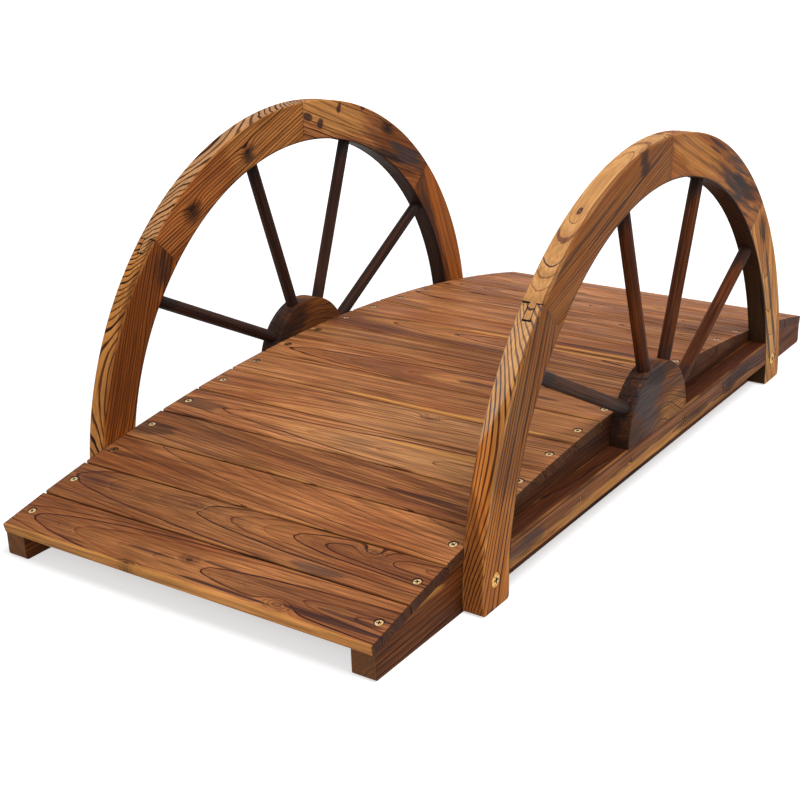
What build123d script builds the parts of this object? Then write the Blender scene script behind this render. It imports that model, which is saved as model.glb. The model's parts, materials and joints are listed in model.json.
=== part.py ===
from build123d import *
import os
from math import asin, atan2, cos, degrees, hypot, radians, sin, tan

# A small garden footbridge with a spoked half wheel standing on each side of its walkway.
# X runs along the walkway, Y across it and Z up. The origin is on the ground, under the middle.
# Right is the side at -Y, left the side at +Y. The front end is at -X and the back end at +X.

os.makedirs("parts", exist_ok=True)

# Stringers: the two side beams, flat below and curved on top
STRINGER_LENGTH = 1320.0
STRINGER_HEIGHT = 107.5
STRINGER_END_HEIGHT = 33.0
STRINGER_THICKNESS = 32.0
STRINGER_CORNER_RADIUS = 5.0

# Deck planks, each lying on its own flat seat on both stringers
DECK_WIDTH = 592.0
PLANK_COUNT = 17
PLANK_THICKNESS = 14.0
PLANK_GAP = 3.0
PLANK_OVERHANG = 2.5
PLANK_EDGE_RADIUS = 2.0

# Half wheels: four felloes each, from the ground up over the walkway
WHEEL_RADIUS = 480.0
WHEEL_CENTRE_HEIGHT = 8.0
FELLOE_WIDTH = 61.0
FELLOE_THICKNESS = 30.0
LEG_CORNER_RADIUS = 6.0
EDGE_RADIUS = 1.5

# Joints between felloes: their angles about the wheel's centre, and the way each tongue points,
# 1 towards the front end and -1 towards the back end
JOINT_ANGLES = (134.5, 88.5, 41.5)
JOINT_ANGLE_TOLERANCE = 0.1
TONGUE_WAYS = (1, -1, -1)
TONGUE_LENGTH = 22.0
TONGUE_THICKNESS = 10.0

# Outer rails between the legs, with a half hub on each rail
RAIL_BOTTOM = 37.0
RAIL_HEIGHT = 38.0
HUB_RADIUS = 96.0

# Countersunk holes for the wood screws in the planks and the rails
SCREW_RADIUS = 2.5
SCREW_HEAD_RADIUS = 5.5
RAIL_SCREW_OFFSETS = (90.0, 235.0)

# Spokes: each has the angle of its end on the hub and the angle of its end on the rim
SPOKE_DIAMETER = 19.0
SPOKE_TENON = 18.0
SPOKE_CLEARANCE = 0.15
SPOKE_ANGLES = ((146.5, 143.0), (104.5, 104.35), (63.6, 71.2), (18.6, 35.55))

# Bolts that hold the legs to the stringers
LEG_BOLT_INSET = 30.5
LEG_BOLT_HEIGHT = 38.0
LEG_BOLT_DIAMETER = 8.0
LEG_BOLT_LENGTH = 54.0
LEG_BOLT_HEAD_DIAMETER = 20.0
LEG_BOLT_HEAD_THICKNESS = 3.5
LEG_BOLT_CLEARANCE = 0.2
CROSS_LENGTH = 10.0
CROSS_WIDTH = 2.2
CROSS_DEPTH = 2.0

# The seats touch a circle that passes through the top of the stringer, in its middle and at its ends
RISE = STRINGER_HEIGHT - STRINGER_END_HEIGHT
SEAT_RADIUS = (STRINGER_LENGTH**2 / 4 + RISE**2) / (2 * RISE)
SEAT_CENTRE_HEIGHT = STRINGER_HEIGHT - SEAT_RADIUS
SEAT_STEP = 2 * asin((STRINGER_LENGTH / 2 + PLANK_OVERHANG) / SEAT_RADIUS) / PLANK_COUNT
PLANK_WIDTH = 2 * SEAT_RADIUS * tan(SEAT_STEP / 2) - PLANK_GAP

SIDE_FACE = DECK_WIDTH / 2
INNER_RADIUS = WHEEL_RADIUS - FELLOE_WIDTH
TONGUE_ANGLE = degrees(TONGUE_LENGTH / (WHEEL_RADIUS - FELLOE_WIDTH / 2))
RAIL_MIDDLE = RAIL_BOTTOM + RAIL_HEIGHT / 2
HUB_HEIGHT = RAIL_BOTTOM + RAIL_HEIGHT
LEG_BOLT_X = WHEEL_RADIUS - LEG_BOLT_INSET

# The right side's pieces start on these planes, and extrusions from them run outwards, to -Y
STRINGER_PLANE = Plane.XZ.offset(SIDE_FACE - STRINGER_THICKNESS)
SIDE_PLANE = Plane.XZ.offset(SIDE_FACE)
TONGUE_PLANE = SIDE_PLANE.offset((FELLOE_THICKNESS - TONGUE_THICKNESS) / 2)
OUTER_PLANE = SIDE_PLANE.offset(FELLOE_THICKNESS)


def finish(part, name):
    """Labels a finished piece and writes it to its own file."""
    part.label = name
    export_step(part, f"parts/{name}.step")


def finish_pair(part, name):
    """Finishes a piece of the right side and its mirror image on the left side."""
    finish(mirror(part, about=Plane.XZ), f"left_{name}")
    finish(part, f"right_{name}")


def seat_angle(index):
    """Slope of a plank's seat, with the planks counted from 0 at the front end."""
    return (index - (PLANK_COUNT - 1) / 2) * SEAT_STEP


def seat_plane(index):
    """Plane of a plank's seat, with its X along the walkway and its Z out of the seat."""
    angle = seat_angle(index)
    return Plane(
        origin=(SEAT_RADIUS * sin(angle), 0, SEAT_CENTRE_HEIGHT + SEAT_RADIUS * cos(angle)),
        x_dir=(cos(angle), 0, -sin(angle)),
        z_dir=(sin(angle), 0, cos(angle)),
    )


def stringer_outline():
    """Corners of a stringer's side: the seats meet at the corners along its top."""
    half = STRINGER_LENGTH / 2
    end_angle = seat_angle(PLANK_COUNT - 1)
    end_reach = half - SEAT_RADIUS * sin(end_angle)
    end_height = SEAT_CENTRE_HEIGHT + SEAT_RADIUS * cos(end_angle) - end_reach * tan(end_angle)
    corner_radius = SEAT_RADIUS / cos(SEAT_STEP / 2)
    corners = [(-half, 0), (-half, end_height)]
    for index in range(PLANK_COUNT - 1):
        angle = seat_angle(index + 0.5)
        corners.append((corner_radius * sin(angle), SEAT_CENTRE_HEIGHT + corner_radius * cos(angle)))
    corners += [(half, end_height), (half, 0)]
    return corners


def wheel_point(radius, angle):
    """Point of the wheel at a radius and at an angle in degrees about its centre."""
    return (radius * cos(radians(angle)), WHEEL_CENTRE_HEIGHT + radius * sin(radians(angle)))


def make_sector(start, end):
    """Adds the stretch of rim between two angles to the sketch that is open."""
    centre = (0, WHEEL_CENTRE_HEIGHT)
    with BuildLine() as outline:
        CenterArc(centre, WHEEL_RADIUS, start, end - start)
        CenterArc(centre, INNER_RADIUS, start, end - start)
        Line(wheel_point(INNER_RADIUS, start), wheel_point(WHEEL_RADIUS, start))
        Line(wheel_point(INNER_RADIUS, end), wheel_point(WHEEL_RADIUS, end))
    make_face(outline.edges())


def make_foot(way):
    """Adds a leg's straight foot, below the wheel's centre, to the sketch that is open."""
    with Locations((way * (WHEEL_RADIUS - FELLOE_WIDTH / 2), WHEEL_CENTRE_HEIGHT / 2)):
        Rectangle(FELLOE_WIDTH, WHEEL_CENTRE_HEIGHT)


def lies_at_joint(edge):
    """Tells whether an edge's middle lies on the shoulder of a joint between felloes."""
    middle = edge.center()
    angle = degrees(atan2(middle.Z - WHEEL_CENTRE_HEIGHT, middle.X))
    return any(abs(angle - joint) < JOINT_ANGLE_TOLERANCE for joint in JOINT_ANGLES)


def shape_joint(joint, outward):
    """Adds a joint's tongue to the felloe that is open, or cuts the slot for it.

    joint counts the joints from the front end, from 0. outward is the way out of the felloe
    at that joint, 1 towards the front end and -1 towards the back end. The felloe has the
    tongue where the tongue points that way.
    """
    angle, way = JOINT_ANGLES[joint], TONGUE_WAYS[joint]
    with BuildSketch(TONGUE_PLANE) as tongue:
        make_sector(angle, angle + way * TONGUE_ANGLE)
    extrude(tongue.sketch, amount=TONGUE_THICKNESS, mode=Mode.ADD if way == outward else Mode.SUBTRACT)


def spoke_axis(spoke):
    """Plane at a spoke's inner end, with its Z along the spoke, and the spoke's whole length."""
    hub_angle, rim_angle = SPOKE_ANGLES[spoke]
    hub_x = HUB_RADIUS * cos(radians(hub_angle))
    hub_z = HUB_HEIGHT + HUB_RADIUS * sin(radians(hub_angle))
    rim_x, rim_z = wheel_point(INNER_RADIUS, rim_angle)
    reach = hypot(rim_x - hub_x, rim_z - hub_z)
    along = Vector((rim_x - hub_x) / reach, 0, (rim_z - hub_z) / reach)
    start = Vector(hub_x, -SIDE_FACE - FELLOE_THICKNESS / 2, hub_z) - along * SPOKE_TENON
    return Plane(origin=start, x_dir=(0, 1, 0), z_dir=along), reach + 2 * SPOKE_TENON


def cut_spoke_bore(spoke):
    """Bores the part that is open for the end of a spoke."""
    plane, length = spoke_axis(spoke)
    with BuildSketch(plane) as bore:
        Circle(SPOKE_DIAMETER / 2 + SPOKE_CLEARANCE)
    extrude(bore.sketch, amount=length, mode=Mode.SUBTRACT)


def cut_bolt_hole(way):
    """Cuts a leg bolt's stepped hole out of the part that is open, from the leg's outer face."""
    with Locations(OUTER_PLANE):
        with Locations((way * LEG_BOLT_X, LEG_BOLT_HEIGHT)):
            CounterBoreHole(
                LEG_BOLT_DIAMETER / 2 + LEG_BOLT_CLEARANCE,
                LEG_BOLT_HEAD_DIAMETER / 2 + LEG_BOLT_CLEARANCE,
                LEG_BOLT_HEAD_THICKNESS,
                LEG_BOLT_LENGTH,
            )


# Stringers
with BuildPart() as stringer:
    with BuildSketch(STRINGER_PLANE) as stringer_side:
        with BuildLine():
            Polyline(*stringer_outline(), close=True)
        make_face()
        fillet(stringer_side.vertices().group_by(Axis.Y)[0], STRINGER_CORNER_RADIUS)
    extrude(amount=STRINGER_THICKNESS)
    cut_bolt_hole(-1)
    cut_bolt_hole(1)
finish_pair(stringer.part, "stringer")

# Deck planks, numbered from the front end
screw_row = SIDE_FACE - STRINGER_THICKNESS / 2
for index in range(PLANK_COUNT):
    with BuildPart(seat_plane(index).offset(PLANK_THICKNESS)) as plank:
        Box(PLANK_WIDTH, DECK_WIDTH, PLANK_THICKNESS, align=(Align.CENTER, Align.CENTER, Align.MAX))
        fillet(plank.edges().filter_by(Axis.Y), PLANK_EDGE_RADIUS)
        with Locations((0, -screw_row), (0, screw_row)):
            CounterSinkHole(SCREW_RADIUS, SCREW_HEAD_RADIUS, PLANK_THICKNESS)
    finish(plank.part, f"deck_plank_{index + 1:02d}")

# Felloes, each with the end of one spoke, from the front leg over the top to the back leg
felloe_names = ("front_leg_felloe", "front_upper_felloe", "back_upper_felloe", "back_leg_felloe")
felloe_bounds = (180, *JOINT_ANGLES, 0)
for index, name in enumerate(felloe_names):
    foot_way = {0: -1, len(felloe_names) - 1: 1}.get(index)
    with BuildPart() as felloe:
        with BuildSketch(SIDE_PLANE) as felloe_side:
            make_sector(felloe_bounds[index + 1], felloe_bounds[index])
            if foot_way:
                make_foot(foot_way)
                fillet(felloe_side.vertices().group_by(Axis.Y)[0], LEG_CORNER_RADIUS)
        extrude(amount=FELLOE_THICKNESS)
        outline = felloe.faces().filter_by(Axis.Y).edges()
        fillet(outline.filter_by(lies_at_joint, reverse=True), EDGE_RADIUS)
        if index > 0:
            shape_joint(index - 1, 1)
        if index < len(JOINT_ANGLES):
            shape_joint(index, -1)
        cut_spoke_bore(index)
        if foot_way:
            cut_bolt_hole(foot_way)
    finish_pair(felloe.part, name)

# Rails between the legs, scribed to the curve of the felloes
with BuildPart() as rail:
    with BuildSketch(SIDE_PLANE):
        with Locations((0, RAIL_MIDDLE)):
            Rectangle(2 * WHEEL_RADIUS, RAIL_HEIGHT)
        with Locations((0, WHEEL_CENTRE_HEIGHT)):
            Circle(INNER_RADIUS, mode=Mode.INTERSECT)
    extrude(amount=FELLOE_THICKNESS)
    fillet(rail.edges().filter_by(Axis.X), EDGE_RADIUS)
    with Locations(OUTER_PLANE):
        for offset_x in RAIL_SCREW_OFFSETS:
            with Locations((-offset_x, RAIL_MIDDLE), (offset_x, RAIL_MIDDLE)):
                CounterSinkHole(SCREW_RADIUS, SCREW_HEAD_RADIUS, FELLOE_THICKNESS)
finish_pair(rail.part, "rail")

# Half hubs on the rails
with BuildPart() as hub:
    with BuildSketch(SIDE_PLANE):
        with Locations((0, HUB_HEIGHT)):
            Circle(HUB_RADIUS)
            Rectangle(2 * HUB_RADIUS, HUB_RADIUS, align=(Align.CENTER, Align.MAX), mode=Mode.SUBTRACT)
    extrude(amount=FELLOE_THICKNESS)
    fillet(hub.faces().filter_by(Axis.Y).edges().filter_by(GeomType.CIRCLE), EDGE_RADIUS)
    for spoke in range(len(SPOKE_ANGLES)):
        cut_spoke_bore(spoke)
finish_pair(hub.part, "hub")

# Spokes, numbered from the front end
for spoke in range(len(SPOKE_ANGLES)):
    plane, length = spoke_axis(spoke)
    with BuildPart() as rod:
        with BuildSketch(plane):
            Circle(SPOKE_DIAMETER / 2)
        extrude(amount=length)
    finish_pair(rod.part, f"spoke_{spoke + 1}")

# Leg bolts, with a cross recess in the head
for way, end in ((-1, "front"), (1, "back")):
    with BuildPart() as bolt:
        with BuildSketch(OUTER_PLANE):
            with Locations((way * LEG_BOLT_X, LEG_BOLT_HEIGHT)):
                Circle(LEG_BOLT_HEAD_DIAMETER / 2)
        extrude(amount=-LEG_BOLT_HEAD_THICKNESS)
        with BuildSketch(OUTER_PLANE):
            with Locations((way * LEG_BOLT_X, LEG_BOLT_HEIGHT)):
                Circle(LEG_BOLT_DIAMETER / 2)
        extrude(amount=-LEG_BOLT_LENGTH)
        with BuildSketch(OUTER_PLANE):
            with Locations((way * LEG_BOLT_X, LEG_BOLT_HEIGHT)):
                Rectangle(CROSS_LENGTH, CROSS_WIDTH)
                Rectangle(CROSS_WIDTH, CROSS_LENGTH)
        extrude(amount=-CROSS_DEPTH, mode=Mode.SUBTRACT)
    finish_pair(bolt.part, f"{end}_leg_bolt")
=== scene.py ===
"""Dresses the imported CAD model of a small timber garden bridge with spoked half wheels.

The CAD pieces keep their shapes. Each gets a charred and brushed wood finish whose growth rings
run through the board as they do in sawn timber, so that long grain, edges and ends agree. The
wood screws and the heads of the leg bolts are modelled here.

X runs along the walkway from its front end, Y across it to the left side and Z up, in metres.
"""

from __future__ import annotations

import json
import logging
import math
import random
from collections.abc import Callable
from dataclasses import dataclass, field, replace
from enum import Enum

import bmesh
import bpy
from mathutils import Matrix, Vector

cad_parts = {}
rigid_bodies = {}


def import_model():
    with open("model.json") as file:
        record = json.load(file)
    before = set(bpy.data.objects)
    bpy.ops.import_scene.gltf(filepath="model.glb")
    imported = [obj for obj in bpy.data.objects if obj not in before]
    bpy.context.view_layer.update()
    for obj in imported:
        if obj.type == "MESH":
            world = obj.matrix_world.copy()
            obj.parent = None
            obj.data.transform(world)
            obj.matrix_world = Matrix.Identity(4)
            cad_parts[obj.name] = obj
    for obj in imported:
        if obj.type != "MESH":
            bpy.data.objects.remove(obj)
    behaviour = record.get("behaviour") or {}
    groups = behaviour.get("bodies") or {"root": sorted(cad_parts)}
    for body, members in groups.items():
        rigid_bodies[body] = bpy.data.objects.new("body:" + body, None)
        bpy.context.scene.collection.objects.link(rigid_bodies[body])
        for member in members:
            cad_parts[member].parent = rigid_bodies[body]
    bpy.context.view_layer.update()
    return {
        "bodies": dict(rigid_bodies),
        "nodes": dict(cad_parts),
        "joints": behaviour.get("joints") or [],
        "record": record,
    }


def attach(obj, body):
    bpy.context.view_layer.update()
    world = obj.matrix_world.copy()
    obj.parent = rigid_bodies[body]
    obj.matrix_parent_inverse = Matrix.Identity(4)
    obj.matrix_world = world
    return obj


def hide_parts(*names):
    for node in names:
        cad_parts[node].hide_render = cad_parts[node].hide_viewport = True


LOG = logging.getLogger("garden_bridge")
BODY = "root"
DISPLAY_GAMMA = 2.2

Colour = tuple[float, float, float]
Place = tuple[float, float, float]
Steps = tuple[float, float]
Piece = bpy.types.Object
Socket = bpy.types.NodeSocket
Sockets = bpy.types.bpy_prop_collection
Source = Socket | float | tuple[float, ...]


def tint(red: int, green: int, blue: int) -> Colour:
    """Turns 8-bit display values into a linear colour.

    Args:
        red: Red, from 0 to 255.
        green: Green, from 0 to 255.
        blue: Blue, from 0 to 255.

    Returns:
        The colour as Blender's shaders take it.
    """

    def linear(value: int) -> float:
        """Undoes the display curve of one channel."""
        share = value / 255
        return share / 12.92 if share <= 0.04045 else ((share + 0.055) / 1.055) ** 2.4

    return linear(red), linear(green), linear(blue)


def toned(colour: Colour, level: float, warmth: float) -> Colour:
    """Multiplies a colour's brightness by a level, and makes it warmer by a share."""
    red, green, blue = (level * channel for channel in colour)
    return red * (1 + warmth), green, blue * (1 - warmth)


def held(values: tuple[float, ...], index: int) -> float:
    """Gives the value at an index, or the last one from there on."""
    return values[min(index, len(values) - 1)]


class NodeSheet:
    """A node tree that is being laid out, with one short method for each kind of step."""

    def __init__(self, tree: bpy.types.NodeTree) -> None:
        """Starts on the node tree of a material or of a node group."""
        self.tree = tree

    def add(self, kind: str, **settings: object) -> bpy.types.Node:
        """Adds a node.

        Args:
            kind: The node's type name.
            settings: Values for the node's own properties.

        Returns:
            The new node.
        """
        node = self.tree.nodes.new(kind)
        for name, value in settings.items():
            setattr(node, name, value)
        return node

    def feed(self, socket: Socket, source: Source) -> None:
        """Links a socket to a source, or sets it to a plain value.

        Args:
            socket: The input socket.
            source: An output socket, a number or a tuple of numbers.
        """
        if isinstance(source, Socket):
            self.tree.links.new(source, socket)
        elif socket.type == "RGBA" and len(source) == 3:
            socket.default_value = (*source, 1.0)
        else:
            socket.default_value = source

    def math(self, operation: str, *terms: Source, clamp: bool = False) -> Socket:
        """Adds a Math node.

        Args:
            operation: The node's operation.
            terms: Its inputs, in order.
            clamp: Whether the result is kept between 0 and 1.

        Returns:
            The result's socket.
        """
        node = self.add("ShaderNodeMath", operation=operation, use_clamp=clamp)
        for socket, term in zip(node.inputs, terms):
            self.feed(socket, term)
        return node.outputs[0]

    def times(self, first: Source, second: Source) -> Socket:
        """Multiplies two numbers."""
        return self.math("MULTIPLY", first, second)

    def plus(self, first: Source, second: Source) -> Socket:
        """Adds two numbers."""
        return self.math("ADD", first, second)

    def less(self, first: Source, second: Source) -> Socket:
        """Subtracts the second number from the first."""
        return self.math("SUBTRACT", first, second)

    def scaled(self, value: Source, factor: Source, start: Source) -> Socket:
        """Multiplies a number by a factor and adds a start to it."""
        return self.math("MULTIPLY_ADD", value, factor, start)

    def larger(self, first: Source, second: Source) -> Socket:
        """Gives the larger of two numbers."""
        return self.math("MAXIMUM", first, second)

    def smaller(self, first: Source, second: Source) -> Socket:
        """Gives the smaller of two numbers."""
        return self.math("MINIMUM", first, second)

    def unsigned(self, value: Source) -> Socket:
        """Gives a number without its sign."""
        return self.math("ABSOLUTE", value)

    def vector(self, operation: str, *terms: Source) -> Socket:
        """Adds a Vector Math node.

        Args:
            operation: The node's operation.
            terms: Its vector inputs, in order, and for SCALE the vector and then the number.

        Returns:
            The result's socket, a number for LENGTH and a vector otherwise.
        """
        node = self.add("ShaderNodeVectorMath", operation=operation)
        if operation == "SCALE":
            self.feed(node.inputs[0], terms[0])
            self.feed(node.inputs["Scale"], terms[1])
        else:
            for socket, term in zip(node.inputs, terms):
                self.feed(socket, term)
        return node.outputs["Value" if operation == "LENGTH" else "Vector"]

    def blend(self, share: Source, first: Source, second: Source, kind: str = "MIX") -> Socket:
        """Adds a Mix node for colours.

        Args:
            share: How much of the second colour there is, from 0 to 1.
            first: The first colour.
            second: The second colour.
            kind: The blend type.

        Returns:
            The mixed colour's socket.
        """
        node = self.add("ShaderNodeMix", data_type="RGBA", blend_type=kind)
        colours = [socket for socket in node.inputs if socket.type == "RGBA"]
        self.feed(node.inputs[0], share)
        self.feed(colours[0], first)
        self.feed(colours[1], second)
        return next(socket for socket in node.outputs if socket.type == "RGBA")

    def ramp(
        self, value: Source, start: Source, end: Source, low: Source = 0.0, high: Source = 1.0
    ) -> Socket:
        """Adds a smooth step.

        Args:
            value: The value that is read.
            start: The value at which the step starts.
            end: The value at which it ends.
            low: The result up to the start.
            high: The result from the end on.

        Returns:
            The result's socket.
        """
        node = self.add("ShaderNodeMapRange", interpolation_type="SMOOTHSTEP")
        for socket, term in zip(node.inputs, (value, start, end, low, high)):
            self.feed(socket, term)
        return node.outputs[0]

    def cover(self, share: Source) -> Socket:
        """Turns a share as the eye sees it into a Mix node's share of a dark colour over a lighter one."""
        left = self.math("SUBTRACT", 1.0, share, clamp=True)
        return self.less(1.0, self.math("POWER", left, DISPLAY_GAMMA))

    def noise(self, place: Source, detail: float = 2.0, roughness: float = 0.5) -> bpy.types.Node:
        """Adds a Noise Texture of scale 1 in three dimensions.

        Args:
            place: The vector that is read.
            detail: The number of octaves.
            roughness: How strong the finer octaves are.

        Returns:
            The node, with a number and a colour as outputs.
        """
        node = self.add("ShaderNodeTexNoise", noise_dimensions="3D")
        for name, term in (("Vector", place), ("Scale", 1.0), ("Detail", detail), ("Roughness", roughness)):
            self.feed(node.inputs[name], term)
        return node

    def noise_along(self, value: Source, detail: float = 1.0) -> Socket:
        """Adds a Noise Texture in one dimension.

        Args:
            value: The number that is read.
            detail: The number of octaves.

        Returns:
            The noise's socket, from 0 to 1.
        """
        node = self.add("ShaderNodeTexNoise", noise_dimensions="1D")
        for name, term in (("W", value), ("Scale", 1.0), ("Detail", detail)):
            self.feed(node.inputs[name], term)
        return node.outputs[0]

    def bump(self, height: Source, strength: float, distance: float) -> Socket:
        """Adds a Bump node.

        Args:
            height: The height that is read.
            strength: The bump's strength.
            distance: The height's scale in metres.

        Returns:
            The bent normal's socket.
        """
        node = self.add("ShaderNodeBump")
        for name, term in (("Strength", strength), ("Distance", distance), ("Height", height)):
            self.feed(node.inputs[name], term)
        return node.outputs[0]

    def show(self, shader: Socket) -> None:
        """Adds a material's output and gives it a shader."""
        self.feed(self.add("ShaderNodeOutputMaterial").inputs["Surface"], shader)

    def parts(self, place: Source) -> tuple[Socket, ...]:
        """Splits a vector.

        Args:
            place: The vector.

        Returns:
            The sockets of its X, Y and Z.
        """
        node = self.add("ShaderNodeSeparateXYZ")
        self.feed(node.inputs[0], place)
        return tuple(node.outputs)

    def join(self, x: Source, y: Source, z: Source) -> Socket:
        """Makes a vector of three numbers.

        Args:
            x: Its X.
            y: Its Y.
            z: Its Z.

        Returns:
            The vector's socket.
        """
        node = self.add("ShaderNodeCombineXYZ")
        for socket, term in zip(node.inputs, (x, y, z)):
            self.feed(socket, term)
        return node.outputs[0]


def blank_material(name: str) -> tuple[bpy.types.Material, NodeSheet]:
    """Makes a material with an empty node tree.

    Args:
        name: The material's name.

    Returns:
        The material and the sheet of its nodes.
    """
    material = bpy.data.materials.new(name)
    material.use_nodes = True
    material.node_tree.nodes.clear()
    return material, NodeSheet(material.node_tree)


class SocketKind(Enum):
    """What a node group's socket carries."""

    NUMBER = "NodeSocketFloat"
    VECTOR = "NodeSocketVector"


class Effect:
    """A shader node group that is built once and placed in each material with its own values."""

    name: str = ""
    vectors: tuple[str, ...] = ("Vector",)
    numbers: tuple[str, ...] = ()
    outputs: tuple[str, ...] = ()

    def __init__(self) -> None:
        """Builds the node group with its named sockets. It gives out numbers alone."""
        self.tree = bpy.data.node_groups.new(self.name, "ShaderNodeTree")
        sockets = [(label, "INPUT", SocketKind.VECTOR) for label in self.vectors]
        sockets += [(label, "INPUT", SocketKind.NUMBER) for label in self.numbers]
        sockets += [(label, "OUTPUT", SocketKind.NUMBER) for label in self.outputs]
        for label, side, kind in sockets:
            self.tree.interface.new_socket(name=label, in_out=side, socket_type=kind.value)
        sheet = NodeSheet(self.tree)
        given = sheet.add("NodeGroupInput").outputs
        leave = sheet.add("NodeGroupOutput").inputs
        for label, source in self.lay_out(sheet, given).items():
            sheet.feed(leave[label], source)

    def lay_out(self, sheet: NodeSheet, given: Sockets) -> dict[str, Source]:
        """Lays the group's nodes out.

        Args:
            sheet: The group's node tree.
            given: The group's inputs, by name.

        Returns:
            What each output of the group gives out, by name.
        """
        raise NotImplementedError

    def place(self, sheet: NodeSheet, **values: Source) -> Sockets:
        """Places the group in a material.

        Args:
            sheet: The material's node tree.
            values: What each of its inputs gets, by name.

        Returns:
            The placed group's outputs, by name.
        """
        node = sheet.add("ShaderNodeGroup", node_tree=self.tree)
        for label, value in values.items():
            sheet.feed(node.inputs[label], value)
        return node.outputs


class GrowthRings(Effect):
    """Growth rings about a pith line, read in a board's own frame, with X along its grain."""

    name = "growth_rings"
    vectors = ("Vector", "Pith", "Slope")
    numbers = ("Oval", "Flat", "Spacing", "Wobble", "Bold", "Even", "Lift", "Seed")
    outputs = ("Line", "Fine", "Grade", "Tone", "Heart", "Band")

    seed_steps: Steps = (3.1, 5.3)
    slow_bend: Place = (4.0, 13.0, 13.0)
    quick_bend: Place = (17.0, 70.0, 70.0)
    quick_share: float = 0.22
    bend_middle: Place = (0.61, 0.61, 0.61)
    line_fray: Place = (22.0, 210.0, 210.0)
    season_rate: float = 60.0
    season_share: float = 0.9
    fray_share: float = 0.12
    heart_rate: float = 22.0
    band_rate: float = 105.0
    least_steepness: float = 0.16
    widest_line: float = 0.55
    line_core: float = 0.5
    line_lead: float = 0.15
    fine_lines: float = 3.0
    fine_fray: float = 1.5
    fine_width: Steps = (0.2, 0.45)

    def lay_out(self, sheet: NodeSheet, given: Sockets) -> dict[str, Source]:
        """Lays out the dark lines of late wood, the finer ones, the tone between them and the broad bands.

        Args:
            sheet: The group's node tree.
            given: The group's inputs, by name.

        Returns:
            The outputs' sources, by name.
        """
        seed = given["Seed"]
        shift = sheet.join(*(sheet.times(seed, step) for step in self.seed_steps), seed)
        slow = sheet.vector("MULTIPLY_ADD", given["Vector"], self.slow_bend, shift)
        quick = sheet.vector("MULTIPLY_ADD", given["Vector"], self.quick_bend, shift)
        waves = sheet.vector("SCALE", sheet.noise(quick, 1.0).outputs["Color"], self.quick_share)
        bend = sheet.vector("ADD", sheet.noise(slow, 1.5).outputs["Color"], waves)
        bend = sheet.vector("SUBTRACT", bend, self.bend_middle)
        bend = sheet.vector("SCALE", bend, given["Wobble"])
        along = sheet.parts(given["Vector"])[0]
        pith = sheet.vector("MULTIPLY_ADD", given["Slope"], sheet.join(along, along, along), given["Pith"])
        out = sheet.vector("ADD", sheet.vector("SUBTRACT", given["Vector"], pith), bend)
        out = sheet.vector("MULTIPLY", out, sheet.join(0.0, 1.0, given["Oval"]))
        radius = sheet.vector("LENGTH", out)
        share = sheet.math("DIVIDE", sheet.unsigned(sheet.parts(out)[1]), radius)
        steep = sheet.scaled(sheet.less(share, 1.0), given["Flat"], 1.0)
        steep = sheet.larger(steep, self.least_steepness)
        radius = sheet.plus(radius, given["Lift"])
        seasons = sheet.noise_along(sheet.scaled(radius, self.season_rate, seed))
        frayed = sheet.vector("MULTIPLY_ADD", given["Vector"], self.line_fray, shift)
        fray = sheet.noise(frayed, 2.0).outputs[0]
        rings = sheet.math("DIVIDE", radius, given["Spacing"])
        rings = sheet.scaled(seasons, self.season_share, rings)
        rings = sheet.scaled(fray, self.fray_share, rings)
        phase = sheet.math("FRACT", rings)
        year = sheet.add("ShaderNodeTexWhiteNoise", noise_dimensions="1D")
        sheet.feed(year.inputs["W"], sheet.plus(sheet.math("FLOOR", rings), seed))
        depth = sheet.larger(year.outputs["Value"], given["Even"])
        step = sheet.math("DIVIDE", given["Spacing"], steep)
        width = sheet.times(given["Bold"], given["Spacing"])
        width = sheet.smaller(width, sheet.times(step, self.widest_line))
        ahead = sheet.times(sheet.less(1.0, phase), step)
        late = sheet.ramp(ahead, sheet.times(width, self.line_core), width, 1.0, 0.0)
        late = sheet.times(late, sheet.ramp(ahead, 0.0, sheet.times(width, self.line_lead)))
        finer = sheet.scaled(rings, self.fine_lines, sheet.times(fray, self.fine_fray))
        between = sheet.math("FRACT", finer)
        between = sheet.times(sheet.less(1.0, between), sheet.math("DIVIDE", step, self.fine_lines))
        fine = sheet.ramp(between, *(sheet.times(width, share) for share in self.fine_width), 1.0, 0.0)
        return {
            "Line": sheet.times(late, depth),
            "Fine": sheet.times(fine, year.outputs["Value"]),
            "Grade": phase,
            "Tone": sheet.ramp(sheet.noise(slow, 3.0).outputs[0], 0.3, 0.7),
            "Heart": sheet.noise_along(sheet.scaled(radius, self.heart_rate, sheet.times(seed, 2.0))),
            "Band": sheet.noise_along(sheet.scaled(radius, self.band_rate, sheet.times(seed, 3.0))),
        }


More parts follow.
